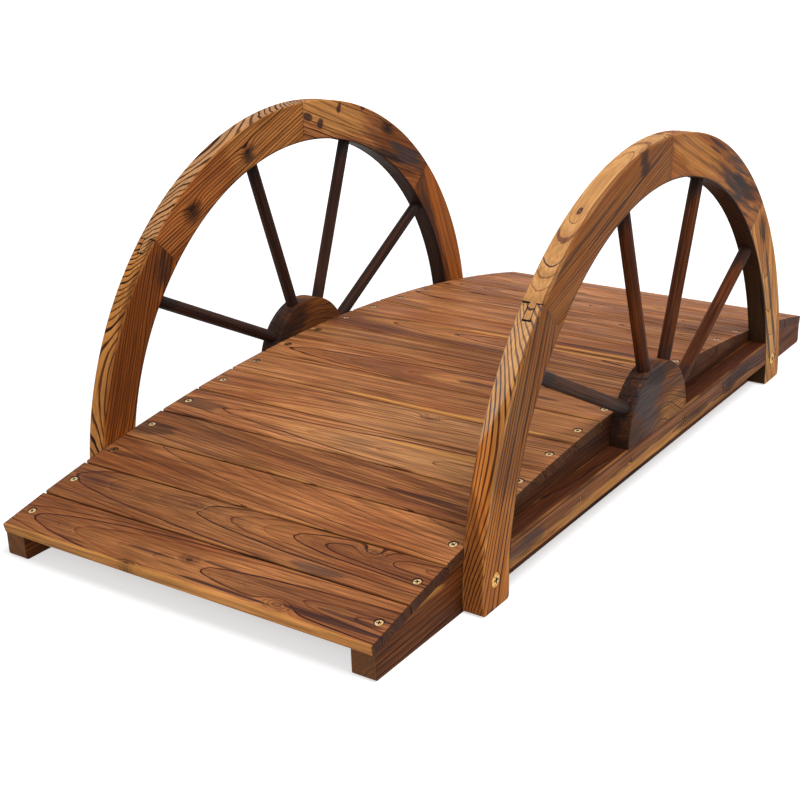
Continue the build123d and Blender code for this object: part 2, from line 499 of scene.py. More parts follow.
class KnotField(Effect):
    """A knot: rings that close round a point, and a core. Shape turns its axis off one direction."""

    name = "knot_field"
    vectors = ("Vector", "Centre", "Shape")
    numbers = ("Size", "Amount")
    outputs = ("Lift", "Core", "Ring", "Halo")

    ring_rate: float = 3.4
    ring_rise: Steps = (0.5, 0.75)
    ring_fall: Steps = (0.85, 1.0)
    ring_reach: Steps = (0.7, 1.0)
    core: Steps = (0.22, 0.42)
    halo: Steps = (0.5, 1.3)

    def lay_out(self, sheet: NodeSheet, given: Sockets) -> dict[str, Source]:
        """Lays out the lift of the rings, and the knot's core, rings and halo.

        Args:
            sheet: The group's node tree.
            given: The group's inputs, by name.

        Returns:
            The outputs' sources, by name.
        """
        away = sheet.vector("SUBTRACT", given["Vector"], given["Centre"])
        away = sheet.vector("MULTIPLY", away, given["Shape"])
        reach = sheet.math("DIVIDE", sheet.vector("LENGTH", away), given["Size"])
        square = sheet.times(reach, reach)
        fall = sheet.math("EXPONENT", sheet.times(square, -1.0))
        turns = sheet.math("FRACT", sheet.times(reach, self.ring_rate))
        ring = sheet.times(sheet.ramp(turns, *self.ring_rise), sheet.ramp(turns, *self.ring_fall, 1.0, 0.0))
        return {
            "Lift": sheet.times(fall, given["Amount"]),
            "Core": sheet.ramp(reach, *self.core, 1.0, 0.0),
            "Ring": sheet.times(ring, sheet.ramp(reach, *self.ring_reach, 1.0, 0.0)),
            "Halo": sheet.ramp(reach, *self.halo, 1.0, 0.0),
        }


class PatchField(Effect):
    """A soft oval patch with an edge that is frayed along the grain."""

    name = "patch_field"
    vectors = ("Vector", "Centre", "Size")
    numbers = ("Fray", "Edge")
    outputs = ("Mask",)

    frayed_grain: Place = (16.0, 120.0, 120.0)

    def lay_out(self, sheet: NodeSheet, given: Sockets) -> dict[str, Source]:
        """Lays out the patch's mask.

        Args:
            sheet: The group's node tree.
            given: The group's inputs, by name.

        Returns:
            The outputs' sources, by name.
        """
        away = sheet.vector("SUBTRACT", given["Vector"], given["Centre"])
        away = sheet.vector("DIVIDE", away, given["Size"])
        fray = sheet.noise(sheet.vector("MULTIPLY", given["Vector"], self.frayed_grain), 3.0).outputs[0]
        fray = sheet.times(sheet.less(fray, 0.5), given["Fray"])
        reach = sheet.plus(sheet.vector("LENGTH", away), fray)
        return {"Mask": sheet.ramp(reach, given["Edge"], 1.0, 1.0, 0.0)}


class BrushedFibre(Effect):
    """Fine fibres along the grain, and the cloudy soot that brushing leaves between them."""

    name = "brushed_fibre"
    numbers = ("Seed",)
    outputs = ("Fibre", "Soot", "Cloud")

    seed_steps: Place = (1.0, 2.3, 3.7)
    fibre_grain: Place = (14.0, 430.0, 430.0)
    soot_grain: Place = (5.0, 240.0, 240.0)
    cloud_grain: Place = (9.0, 26.0, 26.0)

    def lay_out(self, sheet: NodeSheet, given: Sockets) -> dict[str, Source]:
        """Lays out the fibres, the streaks of soot and the slow clouds.

        Args:
            sheet: The group's node tree.
            given: The group's inputs, by name.

        Returns:
            The outputs' sources, by name.
        """
        shift = sheet.vector("SCALE", self.seed_steps, given["Seed"])

        def read(stretch: Place, detail: float) -> Socket:
            """Reads a noise that is stretched along the grain."""
            place = sheet.vector("MULTIPLY_ADD", given["Vector"], stretch, shift)
            return sheet.noise(place, detail).outputs[0]

        return {
            "Fibre": sheet.ramp(read(self.fibre_grain, 3.0), 0.3, 0.7),
            "Soot": sheet.ramp(read(self.soot_grain, 4.0), 0.53, 0.62),
            "Cloud": sheet.ramp(read(self.cloud_grain, 2.0), 0.35, 0.65),
        }


class BoardEdges(Effect):
    """The long arrises and the sawn ends of a straight board, in the board's own frame."""

    name = "board_edges"
    vectors = ("Vector", "Half")
    outputs = ("Arris", "End")

    arris_fade: Steps = (0.0006, 0.0035)
    end_fade: Steps = (0.0006, 0.0016)

    def lay_out(self, sheet: NodeSheet, given: Sockets) -> dict[str, Source]:
        """Lays out the two masks.

        Args:
            sheet: The group's node tree.
            given: The group's inputs, by name.

        Returns:
            The outputs' sources, by name.
        """
        inside = sheet.vector("SUBTRACT", given["Half"], sheet.vector("ABSOLUTE", given["Vector"]))
        along, across, deep = sheet.parts(inside)
        corner = sheet.larger(across, deep)
        return {
            "Arris": sheet.ramp(corner, *self.arris_fade, 1.0, 0.0),
            "End": sheet.ramp(along, *self.end_fade, 1.0, 0.0),
        }


@dataclass(frozen=True)
class WheelSizes:
    """Sizes of a half wheel, as the CAD source has them."""

    radius: float = 0.480
    centre_height: float = 0.008
    felloe_width: float = 0.061
    felloe_thickness: float = 0.030
    side_face: float = 0.296
    tongue_length: float = 0.022
    tongue_thickness: float = 0.010
    joint_angles: tuple[float, ...] = (134.5, 88.5, 41.5)
    tongue_ways: tuple[int, ...] = (1, -1, -1)
    joint_gaps: tuple[float, ...] = (0.0008, 0.0003, 0.0003)
    joint_lines: tuple[float, ...] = (0.08, 0.5, 0.3)

    @property
    def inner_radius(self) -> float:
        """Radius of the rim's inner face."""
        return self.radius - self.felloe_width

    @property
    def middle_radius(self) -> float:
        """Radius half way through the rim."""
        return self.radius - self.felloe_width / 2

    @property
    def middle_reach(self) -> float:
        """Distance from the walkway's middle line to the middle of the rim's thickness."""
        return self.side_face + self.felloe_thickness / 2


WHEEL = WheelSizes()


class RimEdges(Effect):
    """The arrises and the inner curved face of the felloes, in the object's frame."""

    name = "rim_edges"
    outputs = ("Inner", "Outer", "Belly")

    inner_fade: Steps = (0.0008, 0.0048)
    outer_fade: Steps = (0.0004, 0.0036)
    belly_fade: Steps = (0.0005, 0.0015)

    def lay_out(self, sheet: NodeSheet, given: Sockets) -> dict[str, Source]:
        """Lays out the three masks.

        Args:
            sheet: The group's node tree.
            given: The group's inputs, by name.

        Returns:
            The outputs' sources, by name.
        """
        x, y, z = sheet.parts(given["Vector"])
        reach = sheet.vector("LENGTH", sheet.join(x, 0.0, sheet.less(z, WHEEL.centre_height)))
        side = sheet.unsigned(sheet.less(sheet.unsigned(y), WHEEL.middle_reach))
        face = sheet.less(WHEEL.felloe_thickness / 2, side)
        inner = sheet.larger(face, sheet.less(reach, WHEEL.inner_radius))
        outer = sheet.larger(face, sheet.less(WHEEL.radius, reach))
        return {
            "Inner": sheet.ramp(inner, *self.inner_fade, 1.0, 0.0),
            "Outer": sheet.ramp(outer, *self.outer_fade, 1.0, 0.0),
            "Belly": sheet.ramp(sheet.less(reach, WHEEL.inner_radius), *self.belly_fade, 1.0, 0.0),
        }


class JointSeam(Effect):
    """The dark seam of a tongued joint between felloes, and the shade beside it."""

    name = "joint_seam"
    numbers = ("Angle", "Way", "Gap", "Side")
    outputs = ("Seam", "Shade")

    rim_fade: Steps = (0.0015, 0.0005)
    seam_fade: Steps = (0.0001, 0.0006)
    shade_reach: float = 0.012
    cheek_share: float = 0.2
    rim_strength: float = 0.95
    wander_scale: float = 150.0
    wander_reach: float = 0.0012

    def lay_out(self, sheet: NodeSheet, given: Sockets) -> dict[str, Source]:
        """Lays out the shoulders' gaps, the tongue's outline and the shade.

        Args:
            sheet: The group's node tree.
            given: The group's inputs, by name.

        Returns:
            The outputs' sources, by name.
        """
        x, y, z = sheet.parts(given["Vector"])
        height = sheet.less(z, WHEEL.centre_height)
        reach = sheet.vector("LENGTH", sheet.join(x, 0.0, height))
        rim = sheet.unsigned(sheet.less(reach, WHEEL.middle_radius))
        rim = sheet.ramp(rim, *(WHEEL.felloe_width / 2 - depth for depth in self.rim_fade))
        past = sheet.less(sheet.math("ARCTAN2", height, x), given["Angle"])
        past = sheet.times(sheet.times(past, WHEEL.middle_radius), given["Way"])
        side = sheet.unsigned(sheet.less(sheet.unsigned(y), WHEEL.middle_reach))
        half = WHEEL.tongue_thickness / 2
        beyond = sheet.less(side, half)
        inward = sheet.less(WHEEL.middle_reach, sheet.unsigned(y))
        loose = sheet.times(given["Gap"], rim)
        slack = sheet.times(loose, sheet.ramp(inward, -WHEEL.felloe_thickness / 2, half, 0.1, 1.0))
        shoulder = sheet.larger(sheet.unsigned(past), sheet.times(beyond, -1.0))
        shoulder = sheet.less(shoulder, slack)
        tip = sheet.larger(sheet.unsigned(sheet.less(past, WHEEL.tongue_length)), beyond)
        tip = sheet.less(tip, loose)
        outside = sheet.larger(sheet.times(past, -1.0), sheet.less(past, WHEEL.tongue_length))
        cheek = sheet.larger(sheet.unsigned(beyond), outside)
        cheek = sheet.less(cheek, sheet.times(loose, self.cheek_share))
        wander = sheet.noise(sheet.vector("SCALE", given["Vector"], self.wander_scale), 1.0).outputs[0]
        gap = sheet.smaller(sheet.smaller(shoulder, tip), cheek)
        gap = sheet.plus(gap, sheet.times(sheet.less(wander, 0.5), self.wander_reach))
        strength = sheet.larger(sheet.times(rim, self.rim_strength), given["Side"])
        return {
            "Seam": sheet.times(sheet.ramp(gap, *self.seam_fade, 1.0, 0.0), strength),
            "Shade": sheet.ramp(sheet.unsigned(past), 0.0, self.shade_reach, 1.0, 0.0),
        }


@dataclass(frozen=True)
class Effects:
    """Every node group, built once for all the materials."""

    rings: GrowthRings = field(default_factory=GrowthRings)
    knot: KnotField = field(default_factory=KnotField)
    patch: PatchField = field(default_factory=PatchField)
    fibre: BrushedFibre = field(default_factory=BrushedFibre)
    board_edges: BoardEdges = field(default_factory=BoardEdges)
    rim_edges: RimEdges = field(default_factory=RimEdges)
    seam: JointSeam = field(default_factory=JointSeam)


LIGHT_RED = 0.2
THROUGH_FACE: Place = (0.55, 1.0, 0.0)
THROUGH_EDGE: Place = (0.55, 0.0, 1.0)


class Mark(Enum):
    """A kind of patch on charred and brushed wood, with its colour."""

    BLACK = tint(22, 15, 14)
    # Also the painted shade round the deck screws.
    SOOT_AND_SHADE = tint(34, 26, 25)
    SLATE = tint(58, 51, 52)
    HEART = tint(54, 33, 34)
    BLUE = tint(84, 80, 92)
    GOLD = tint(210, 148, 76)
    TAN = tint(214, 170, 120)
    AMBER = tint(158, 82, 20)
    ORANGE = tint(196, 112, 46)
    UMBER = tint(96, 54, 26)
    MAHOGANY = tint(70, 34, 18)
    # Also the painted shade on the felloes' inner curved faces.
    CHAR_AND_SHADE = tint(40, 24, 17)

    @property
    def is_dark(self) -> bool:
        """Whether the mark darkens the wood."""
        return self.value[0] < LIGHT_RED


class Layer(Enum):
    """What a patch colours: the wood between the dark lines, those lines, or all of it."""

    GROUND = "ground"
    LINES = "lines"
    OVER = "over"


@dataclass(frozen=True)
class Patch:
    """A patch in a board's own frame: what it is, where, how large and how strong."""

    mark: Mark
    centre: Place
    size: Place
    strength: float = 0.8
    fray: float = 1.4
    layer: Layer = Layer.OVER
    edge: float = 0.6


@dataclass(frozen=True)
class Knot:
    """A knot in a board's own frame. Its shape is 0 along its axis and under 1 along the grain."""

    centre: Place
    size: float = 0.012
    lift: float = 0.012
    shape: Place = THROUGH_FACE
    dark: float = 0.5
    rings: float = 0.55


@dataclass(frozen=True)
class Figure:
    """How a board was sawn from its log, and what marks it has.

    The pith and its slope are across the board and through its thickness. A larger even makes the
    faint lines as dark as the others. Where the side faces have lines of another boldness or
    spacing than the edges, side_bold and side_spacing give them.
    """

    pith: tuple[float, float]
    slope: tuple[float, float] = (0.0, 0.0)
    oval: float = 1.0
    flat: float = 0.0
    spacing: float = 0.0045
    wobble: float = 0.012
    bold: float = 0.3
    even: float = 0.15
    side_bold: float | None = None
    side_spacing: float | None = None
    seed: float = 0.0
    knots: tuple[Knot, ...] = ()
    patches: tuple[Patch, ...] = ()


FACE_DEPTH = 0.0012
BOLD_STEP = 0.0008
SPACING_STEP = 0.0001


@dataclass(frozen=True)
class Board:
    """Where a straight or curved piece lies: its middle, its grain and its way across."""

    origin: Vector
    grain: Vector
    across: Vector
    half: Place

    def turn(self) -> Matrix:
        """Gives the turn from the board's own frame to the object's."""
        deep = self.grain.cross(self.across)
        return Matrix((self.grain, self.across, deep)).transposed()

    def frame(self) -> Matrix:
        """Gives the whole move from the board's own frame to the object's."""
        return Matrix.Translation(self.origin) @ self.turn().to_4x4()


@dataclass(frozen=True)
class Layout:
    """What the layers of a wood finish read, laid out once in a material."""

    sheet: NodeSheet
    effects: Effects
    board: Board
    place: Socket
    local: Socket
    fibre: Sockets
    rings: Sockets
    knots: tuple[tuple[Knot, Sockets], ...]

    @classmethod
    def start(
        cls, name: str, board: Board, figure: Figure, effects: Effects
    ) -> tuple[Layout, bpy.types.Material]:
        """Starts a material with the board's own frame, its knots, rings and fibres.

        Args:
            name: The material's name.
            board: Where the piece lies.
            figure: How it was sawn.
            effects: The node groups.

        Returns:
            The layout and its material.
        """
        material, sheet = blank_material(name)
        place = sheet.add("ShaderNodeTexCoord").outputs["Object"]
        mapping = sheet.add("ShaderNodeMapping", vector_type="TEXTURE")
        sheet.feed(mapping.inputs["Vector"], place)
        mapping.inputs["Location"].default_value = board.origin
        mapping.inputs["Rotation"].default_value = board.turn().to_euler("XYZ")
        local = mapping.outputs[0]
        lift: Source = 0.0
        knots = []
        for knot in figure.knots:
            values = {"Centre": knot.centre, "Shape": knot.shape, "Size": knot.size, "Amount": knot.lift}
            found = effects.knot.place(sheet, Vector=local, **values)
            lift = sheet.plus(lift, found["Lift"])
            knots.append((knot, found))
        bold: Source = figure.bold
        spacing: Source = figure.spacing
        deep = sheet.unsigned(sheet.parts(local)[2])
        start = board.half[2] - FACE_DEPTH
        if figure.side_bold is not None:
            bold = sheet.ramp(deep, start, start + BOLD_STEP, figure.bold, figure.side_bold)
        if figure.side_spacing is not None:
            spacing = sheet.ramp(deep, start, start + SPACING_STEP, figure.spacing, figure.side_spacing)
        rings = effects.rings.place(
            sheet,
            Vector=local,
            Pith=(0.0, *figure.pith),
            Slope=(0.0, *figure.slope),
            Oval=figure.oval,
            Flat=figure.flat,
            Spacing=spacing,
            Wobble=figure.wobble,
            Bold=bold,
            Even=figure.even,
            Lift=lift,
            Seed=figure.seed,
        )
        fibre = effects.fibre.place(sheet, Vector=local, Seed=figure.seed)
        return cls(sheet, effects, board, place, local, fibre, rings, tuple(knots)), material


@dataclass(frozen=True)
class CharredWood:
    """A charred and brushed wood finish: its colours, and how strong its parts are."""

    pale: Colour
    warm: Colour
    line: Colour
    soot: Colour
    end: Colour
    arris: Colour
    line_strength: float = 0.9
    fine_strength: float = 0.3
    grade_strength: float = 0.25
    heart_strength: float = 0.35
    band_strength: float = 0.3
    gold_strength: float = 0.25
    soot_strength: float = 0.3
    arris_strength: float = 0.35
    end_strength: float = 0.85
    heart_steps: Steps = (0.56, 0.66)
    band_steps: Steps = (0.53, 0.62)
    gold_steps: Steps = (0.38, 0.46)
    line_steps: Steps = (0.15, 1.0)
    fibre_range: Steps = (0.72, 1.18)
    cloud_share: float = 0.25
    stain_depth: float = 1.35
    stain_reach: float = 1.5
    stain_strength: float = 0.85
    halo_strength: float = 0.4
    patch_line_share: float = 0.2
    patch_share: float = 0.85
    roughness: float = 0.61
    cloud_polish: float = 0.10
    line_dullness: float = 0.10
    gloss: float = 0.06
    relief: float = 0.0005
    relief_strength: float = 0.8
    line_relief: float = 0.7

    @property
    def stain(self) -> Colour:
        """The deeper colour of the wood beside its dark lines."""
        return tuple(channel**self.stain_depth for channel in self.warm)

    def dress(self, piece: Piece, board: Board, figure: Figure, effects: Effects) -> None:
        """Gives a CAD piece its own material in this finish.

        Args:
            piece: The CAD piece.
            board: Where it lies.
            figure: How it was sawn, with its marks.
            effects: The node groups.
        """
        layout, material = Layout.start(f"{piece.name}_wood", board, figure, effects)
        sheet, rings, fibre = layout.sheet, layout.rings, layout.fibre
        ground = sheet.blend(rings["Tone"], self.warm, self.pale)
        heart = sheet.times(sheet.ramp(rings["Heart"], *self.heart_steps), self.heart_strength)
        ground = sheet.blend(heart, ground, Mark.HEART.value)
        dark = sheet.times(sheet.ramp(rings["Band"], *self.band_steps), self.band_strength)
        ground = sheet.blend(dark, ground, self.soot)
        gold = sheet.times(sheet.ramp(rings["Band"], *self.gold_steps, 1.0, 0.0), self.gold_strength)
        ground = sheet.blend(gold, ground, self.arris)
        ground = sheet.blend(sheet.times(rings["Grade"], self.grade_strength), ground, self.line)
        ground = self.add_patches(layout, ground, figure, Layer.GROUND)
        line = self.add_patches(layout, self.line, figure, Layer.LINES)
        lightest = (1 - self.cloud_share) * self.line_strength
        shade = sheet.scaled(fibre["Cloud"], self.cloud_share * self.line_strength, lightest)
        drawn = sheet.times(rings["Line"], shade)
        drawn = sheet.larger(drawn, sheet.times(rings["Fine"], self.fine_strength))
        stained = sheet.math("MULTIPLY", drawn, self.stain_reach, clamp=True)
        ground = sheet.blend(sheet.times(stained, self.stain_strength), ground, self.stain)
        colour = sheet.blend(sheet.cover(sheet.ramp(drawn, *self.line_steps)), ground, line)
        colour = sheet.blend(self.sooted(layout), colour, self.soot)
        colour = self.add_patches(layout, colour, figure, Layer.OVER)
        for knot, found in layout.knots:
            strengths = {"Halo": self.halo_strength * knot.dark, "Ring": knot.rings, "Core": knot.dark}
            for part, strength in strengths.items():
                colour = sheet.blend(sheet.cover(sheet.times(found[part], strength)), colour, self.line)
        grey = sheet.ramp(fibre["Fibre"], 0.0, 1.0, *self.fibre_range)
        colour = sheet.blend(1.0, colour, sheet.join(grey, grey, grey), "MULTIPLY")
        self.add_shader(layout, self.paint_edges(layout, colour))
        piece.data.materials.clear()
        piece.data.materials.append(material)

    def sooted(self, layout: Layout) -> Socket:
        """Gives how much soot there is along the grain."""
        return layout.sheet.times(layout.fibre["Soot"], self.soot_strength)

    def add_patches(self, layout: Layout, colour: Source, figure: Figure, layer: Layer) -> Source:
        """Adds the figure's patches of one layer.

        Args:
            layout: The material's layout.
            colour: The colour so far.
            figure: The figure with the patches.
            layer: The layer whose patches are added.

        Returns:
            The colour with the patches.
        """
        sheet = layout.sheet
        for patch in figure.patches:
            if patch.layer is not layer:
                continue
            values = {"Centre": patch.centre, "Size": patch.size, "Fray": patch.fray, "Edge": patch.edge}
            found = layout.effects.patch.place(sheet, Vector=layout.local, **values)
            grip: Source = patch.strength
            if layer is Layer.OVER:
                grip = sheet.scaled(layout.rings["Line"], self.patch_line_share, self.patch_share * grip)
            share = sheet.math("MULTIPLY", found["Mask"], grip, clamp=True)
            share = sheet.cover(share) if patch.mark.is_dark else share
            colour = sheet.blend(share, colour, patch.mark.value)
        return colour

    def add_shader(self, layout: Layout, colour: Socket) -> None:
        """Adds the shader with its gloss and relief.

        Args:
            layout: The material's layout.
            colour: The finished colour.
        """
        sheet, rings, fibre = layout.sheet, layout.rings, layout.fibre
        fibre_relief = sheet.times(fibre["Fibre"], 1 - self.line_relief)
        height = sheet.scaled(rings["Line"], self.line_relief, fibre_relief)
        normal = sheet.bump(height, self.relief_strength, self.relief)
        shader = sheet.add("ShaderNodeBsdfPrincipled")
        shader.inputs["Specular IOR Level"].default_value = self.gloss
        sheet.feed(shader.inputs["Base Color"], colour)
        worn = sheet.scaled(fibre["Cloud"], -self.cloud_polish, self.roughness)
        sheet.feed(shader.inputs["Roughness"], sheet.scaled(rings["Line"], self.line_dullness, worn))
        sheet.feed(shader.inputs["Normal"], normal)
        sheet.show(shader.outputs[0])

    def paint_edges(self, layout: Layout, colour: Socket) -> Socket:
        """Paints a straight board's arrises and sawn ends.

        Args:
            layout: The material's layout.
            colour: The colour so far.

        Returns:
            The colour with the edges.
        """
        sheet = layout.sheet
        edges = layout.effects.board_edges.place(sheet, Vector=layout.local, Half=layout.board.half)
        worn = sheet.times(edges["Arris"], sheet.times(layout.fibre["Cloud"], self.arris_strength))
        colour = sheet.blend(worn, colour, self.arris)
        return sheet.blend(sheet.times(edges["End"], self.end_strength), colour, self.end)


@dataclass(frozen=True)
class FelloeWood(CharredWood):
    """The finish of the curved felloes, with burnt inner arrises, painted shade on their inner curved faces,
    and the seams of their joints.
    """

    inner_strength: float = 0.5
    belly_shade_strength: float = 0.75
    burnt_cloud: float = 0.6
    shade_strength: float = 0.15
    rim_soot_share: float = 0.15
    rim_soot_fade: Steps = (0.0138, 0.0146)

    def sooted(self, layout: Layout) -> Socket:
        """Gives how much soot there is along the grain, which is less on the curved faces.

        Args:
            layout: The material's layout.

        Returns:
            The soot's share.
        """
        sheet = layout.sheet
        deep = sheet.unsigned(sheet.parts(layout.local)[2])
        least = self.rim_soot_share * self.soot_strength
        share = sheet.ramp(deep, *self.rim_soot_fade, least, self.soot_strength)
        return sheet.times(layout.fibre["Soot"], share)

    def paint_edges(self, layout: Layout, colour: Socket) -> Socket:
        """Paints the arrises along the curves, painted shade on the inner curved face, and the seams at both
        ends.

        Args:
            layout: The material's layout.
            colour: The colour so far.

        Returns:
            The colour with the edges.
        """
        sheet, cloud = layout.sheet, layout.fibre["Cloud"]
        edges = layout.effects.rim_edges.place(sheet, Vector=layout.place)
        worn = sheet.times(edges["Outer"], sheet.times(cloud, self.arris_strength))
        colour = sheet.blend(worn, colour, self.arris)
        burnt = sheet.times(edges["Inner"], sheet.scaled(cloud, self.burnt_cloud, 1 - self.burnt_cloud))
        colour = sheet.blend(sheet.cover(sheet.times(burnt, self.inner_strength)), colour, self.soot)
        # Painted shade: the inner curved face, which faces down and inwards, is darkened with the char colour.
        belly_shade = sheet.cover(sheet.times(edges["Belly"], self.belly_shade_strength))
        colour = sheet.blend(belly_shade, colour, Mark.CHAR_AND_SHADE.value)
        for number, angle in enumerate(WHEEL.joint_angles):
            seam = layout.effects.seam.place(
                sheet,
                Vector=layout.place,
                Angle=math.radians(angle),
                Way=float(WHEEL.tongue_ways[number]),
                Gap=WHEEL.joint_gaps[number],
                Side=WHEEL.joint_lines[number],
            )
            colour = sheet.blend(sheet.times(seam["Shade"], self.shade_strength), colour, self.soot)
            colour = sheet.blend(sheet.cover(seam["Seam"]), colour, Mark.BLACK.value)
        return colour


@dataclass(frozen=True)
class YellowZinc:
    """The brassy plating of the screws and bolts."""

    name: str = "yellow_zinc"
    colour: Colour = tint(244, 214, 160)
    dull: Colour = tint(210, 160, 92)
    roughness: float = 0.30
    metallic: float = 1.0
    smear_scale: float = 420.0
    dull_steps: Steps = (0.35, 0.7)
    worn_steps: Steps = (0.3, 0.7)
    worn_change: Steps = (-0.06, 0.14)
    relief: float = 0.0001
    relief_strength: float = 0.4

    def make(self) -> bpy.types.Material:
        """Makes the material, which all the fasteners of a kind share.

        Returns:
            The material.
        """
        material, sheet = blank_material(self.name)
        place = sheet.add("ShaderNodeTexCoord").outputs["Object"]
        smear = sheet.noise(sheet.vector("SCALE", place, self.smear_scale), 3.0).outputs[0]
        shader = sheet.add("ShaderNodeBsdfPrincipled")
        shader.inputs["Metallic"].default_value = self.metallic
        tinted = sheet.blend(sheet.ramp(smear, *self.dull_steps), self.colour, self.dull)
        sheet.feed(shader.inputs["Base Color"], tinted)
        dullness = (self.roughness + change for change in self.worn_change)
        worn = sheet.ramp(smear, *self.worn_steps, *dullness)
        sheet.feed(shader.inputs["Roughness"], worn)
        sheet.feed(shader.inputs["Normal"], sheet.bump(smear, self.relief_strength, self.relief))
        sheet.show(shader.outputs[0])
        return material


def start_fresh() -> None:
    """Deselects everything and leaves edit mode, so that the next operator acts on its own piece."""
    if bpy.context.object is not None and bpy.context.object.mode != "OBJECT":
        bpy.ops.object.mode_set(mode="OBJECT")
    bpy.ops.object.select_all(action="DESELECT")


def pick_faces(piece: Piece, wanted: Callable[[Vector, Vector], bool]) -> None:
    """Selects a piece's faces by their place and normal, in edit mode.

    Args:
        piece: The piece that is in edit mode.
        wanted: Tells from a face's middle and normal whether it is selected.
    """
    mesh = bmesh.from_edit_mesh(piece.data)
    for face in mesh.faces:
        face.select_set(wanted(face.calc_center_median(), face.normal))
    bmesh.update_edit_mesh(piece.data)


@dataclass(frozen=True)
class CrossRecess:
    """A cross recess that narrows towards its bottom."""

    arm: float
    width: float
    depth: float
    bottom_share: float = 0.55

    def cut(self, piece: Piece) -> None:
        """Cuts the recess into a piece, down from height 0 at its middle.

        Args:
            piece: The screw or bolt that is being modelled.
        """
        start_fresh()
        bpy.ops.mesh.primitive_cube_add(size=self.width, location=(0.0, 0.0, 0.0))
        cutter = bpy.context.object
        bpy.ops.object.mode_set(mode="EDIT")
        bpy.ops.mesh.select_mode(type="FACE")
        bpy.ops.mesh.select_all(action="SELECT")
        bpy.ops.transform.resize(value=(1.0, 1.0, 2 * self.depth / self.width))
        pick_faces(cutter, lambda middle, normal: abs(normal.z) < 0.5)
        bpy.ops.mesh.extrude_faces_move(TRANSFORM_OT_shrink_fatten={"value": self.arm - self.width / 2})
        bpy.ops.mesh.select_all(action="SELECT")
        bpy.ops.mesh.normals_make_consistent(inside=False)
        pick_faces(cutter, lambda middle, normal: normal.z < -0.5)
        bpy.ops.transform.resize(value=(self.bottom_share, self.bottom_share, 1.0))
        bpy.ops.object.mode_set(mode="OBJECT")
        start_fresh()
        bpy.context.view_layer.objects.active = piece
        piece.select_set(True)
        cut = piece.modifiers.new("cross_recess", "BOOLEAN")
        cut.operation = "DIFFERENCE"
        cut.solver = "EXACT"
        cut.object = cutter
        bpy.ops.object.modifier_apply(modifier=cut.name)
        bpy.data.objects.remove(cutter)
        # The recess's walls and bottom take the second material, the painted shade.
        for face in piece.data.polygons:
            middle = face.center
            inside = math.hypot(middle.x, middle.y) < self.arm and -1.1 * self.depth < middle.z < -1e-5
            face.material_index = int(inside and (abs(face.normal.z) < 0.7 or middle.z < -0.9 * self.depth))


@dataclass(frozen=True)
class Fastener:
    """A screw or bolt, modelled with its head's top at height 0 and its shank pointing down."""

    head_radius: float
    head_edge: float
    cone_height: float
    shank_radius: float
    length: float
    crown: float
    recess: CrossRecess
    sides: int = 24
    crown_steps: tuple[Steps, ...] = ((0.22, 0.75), (0.30, 0.25))
    smooth_angle: float = 35.0

    def model(self) -> Piece:
        """Models the fastener once, at the origin.

        Returns:
            The piece that the copies are made from.
        """
        start_fresh()
        middle = (0.0, 0.0, -self.crown - self.head_edge / 2)
        bpy.ops.mesh.primitive_cylinder_add(
            vertices=self.sides, radius=self.head_radius, depth=self.head_edge, location=middle
        )
        piece = bpy.context.object
        bpy.ops.object.transform_apply(location=True, rotation=True, scale=True)
        bpy.ops.object.mode_set(mode="EDIT")
        bpy.ops.mesh.select_mode(type="FACE")
        pick_faces(piece, lambda middle, normal: normal.z > 0.5)
        for inset, rise in self.crown_steps:
            bpy.ops.mesh.inset(thickness=inset * self.head_radius)
            bpy.ops.transform.translate(value=(0.0, 0.0, rise * self.crown))
        pick_faces(piece, lambda middle, normal: normal.z < -0.5)
        share = self.shank_radius / self.head_radius
        bpy.ops.mesh.extrude_region_move(TRANSFORM_OT_translate={"value": (0.0, 0.0, -self.cone_height)})
        bpy.ops.transform.resize(value=(share, share, 1.0))
        rest = self.length - self.crown - self.head_edge - self.cone_height
        bpy.ops.mesh.extrude_region_move(TRANSFORM_OT_translate={"value": (0.0, 0.0, -rest)})
        bpy.ops.object.mode_set(mode="OBJECT")
        self.recess.cut(piece)
        bpy.ops.object.shade_smooth_by_angle(angle=math.radians(self.smooth_angle))
        return piece

    def copy(self, pattern: Piece, name: str, place: Matrix) -> Piece:
        """Copies the fastener, with a mesh of its own, to its place.

        Args:
            pattern: The modelled fastener.
            name: The copy's name.
            place: The move from the pattern to the copy's place.

        Returns:
            The copy, whose object sits at the origin.
        """
        mesh = pattern.data.copy()
        mesh.transform(place)
        piece = bpy.data.objects.new(name, mesh)
        bpy.context.scene.collection.objects.link(piece)
        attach(piece, BODY)
        return piece


PLANK_TOP = 0.007


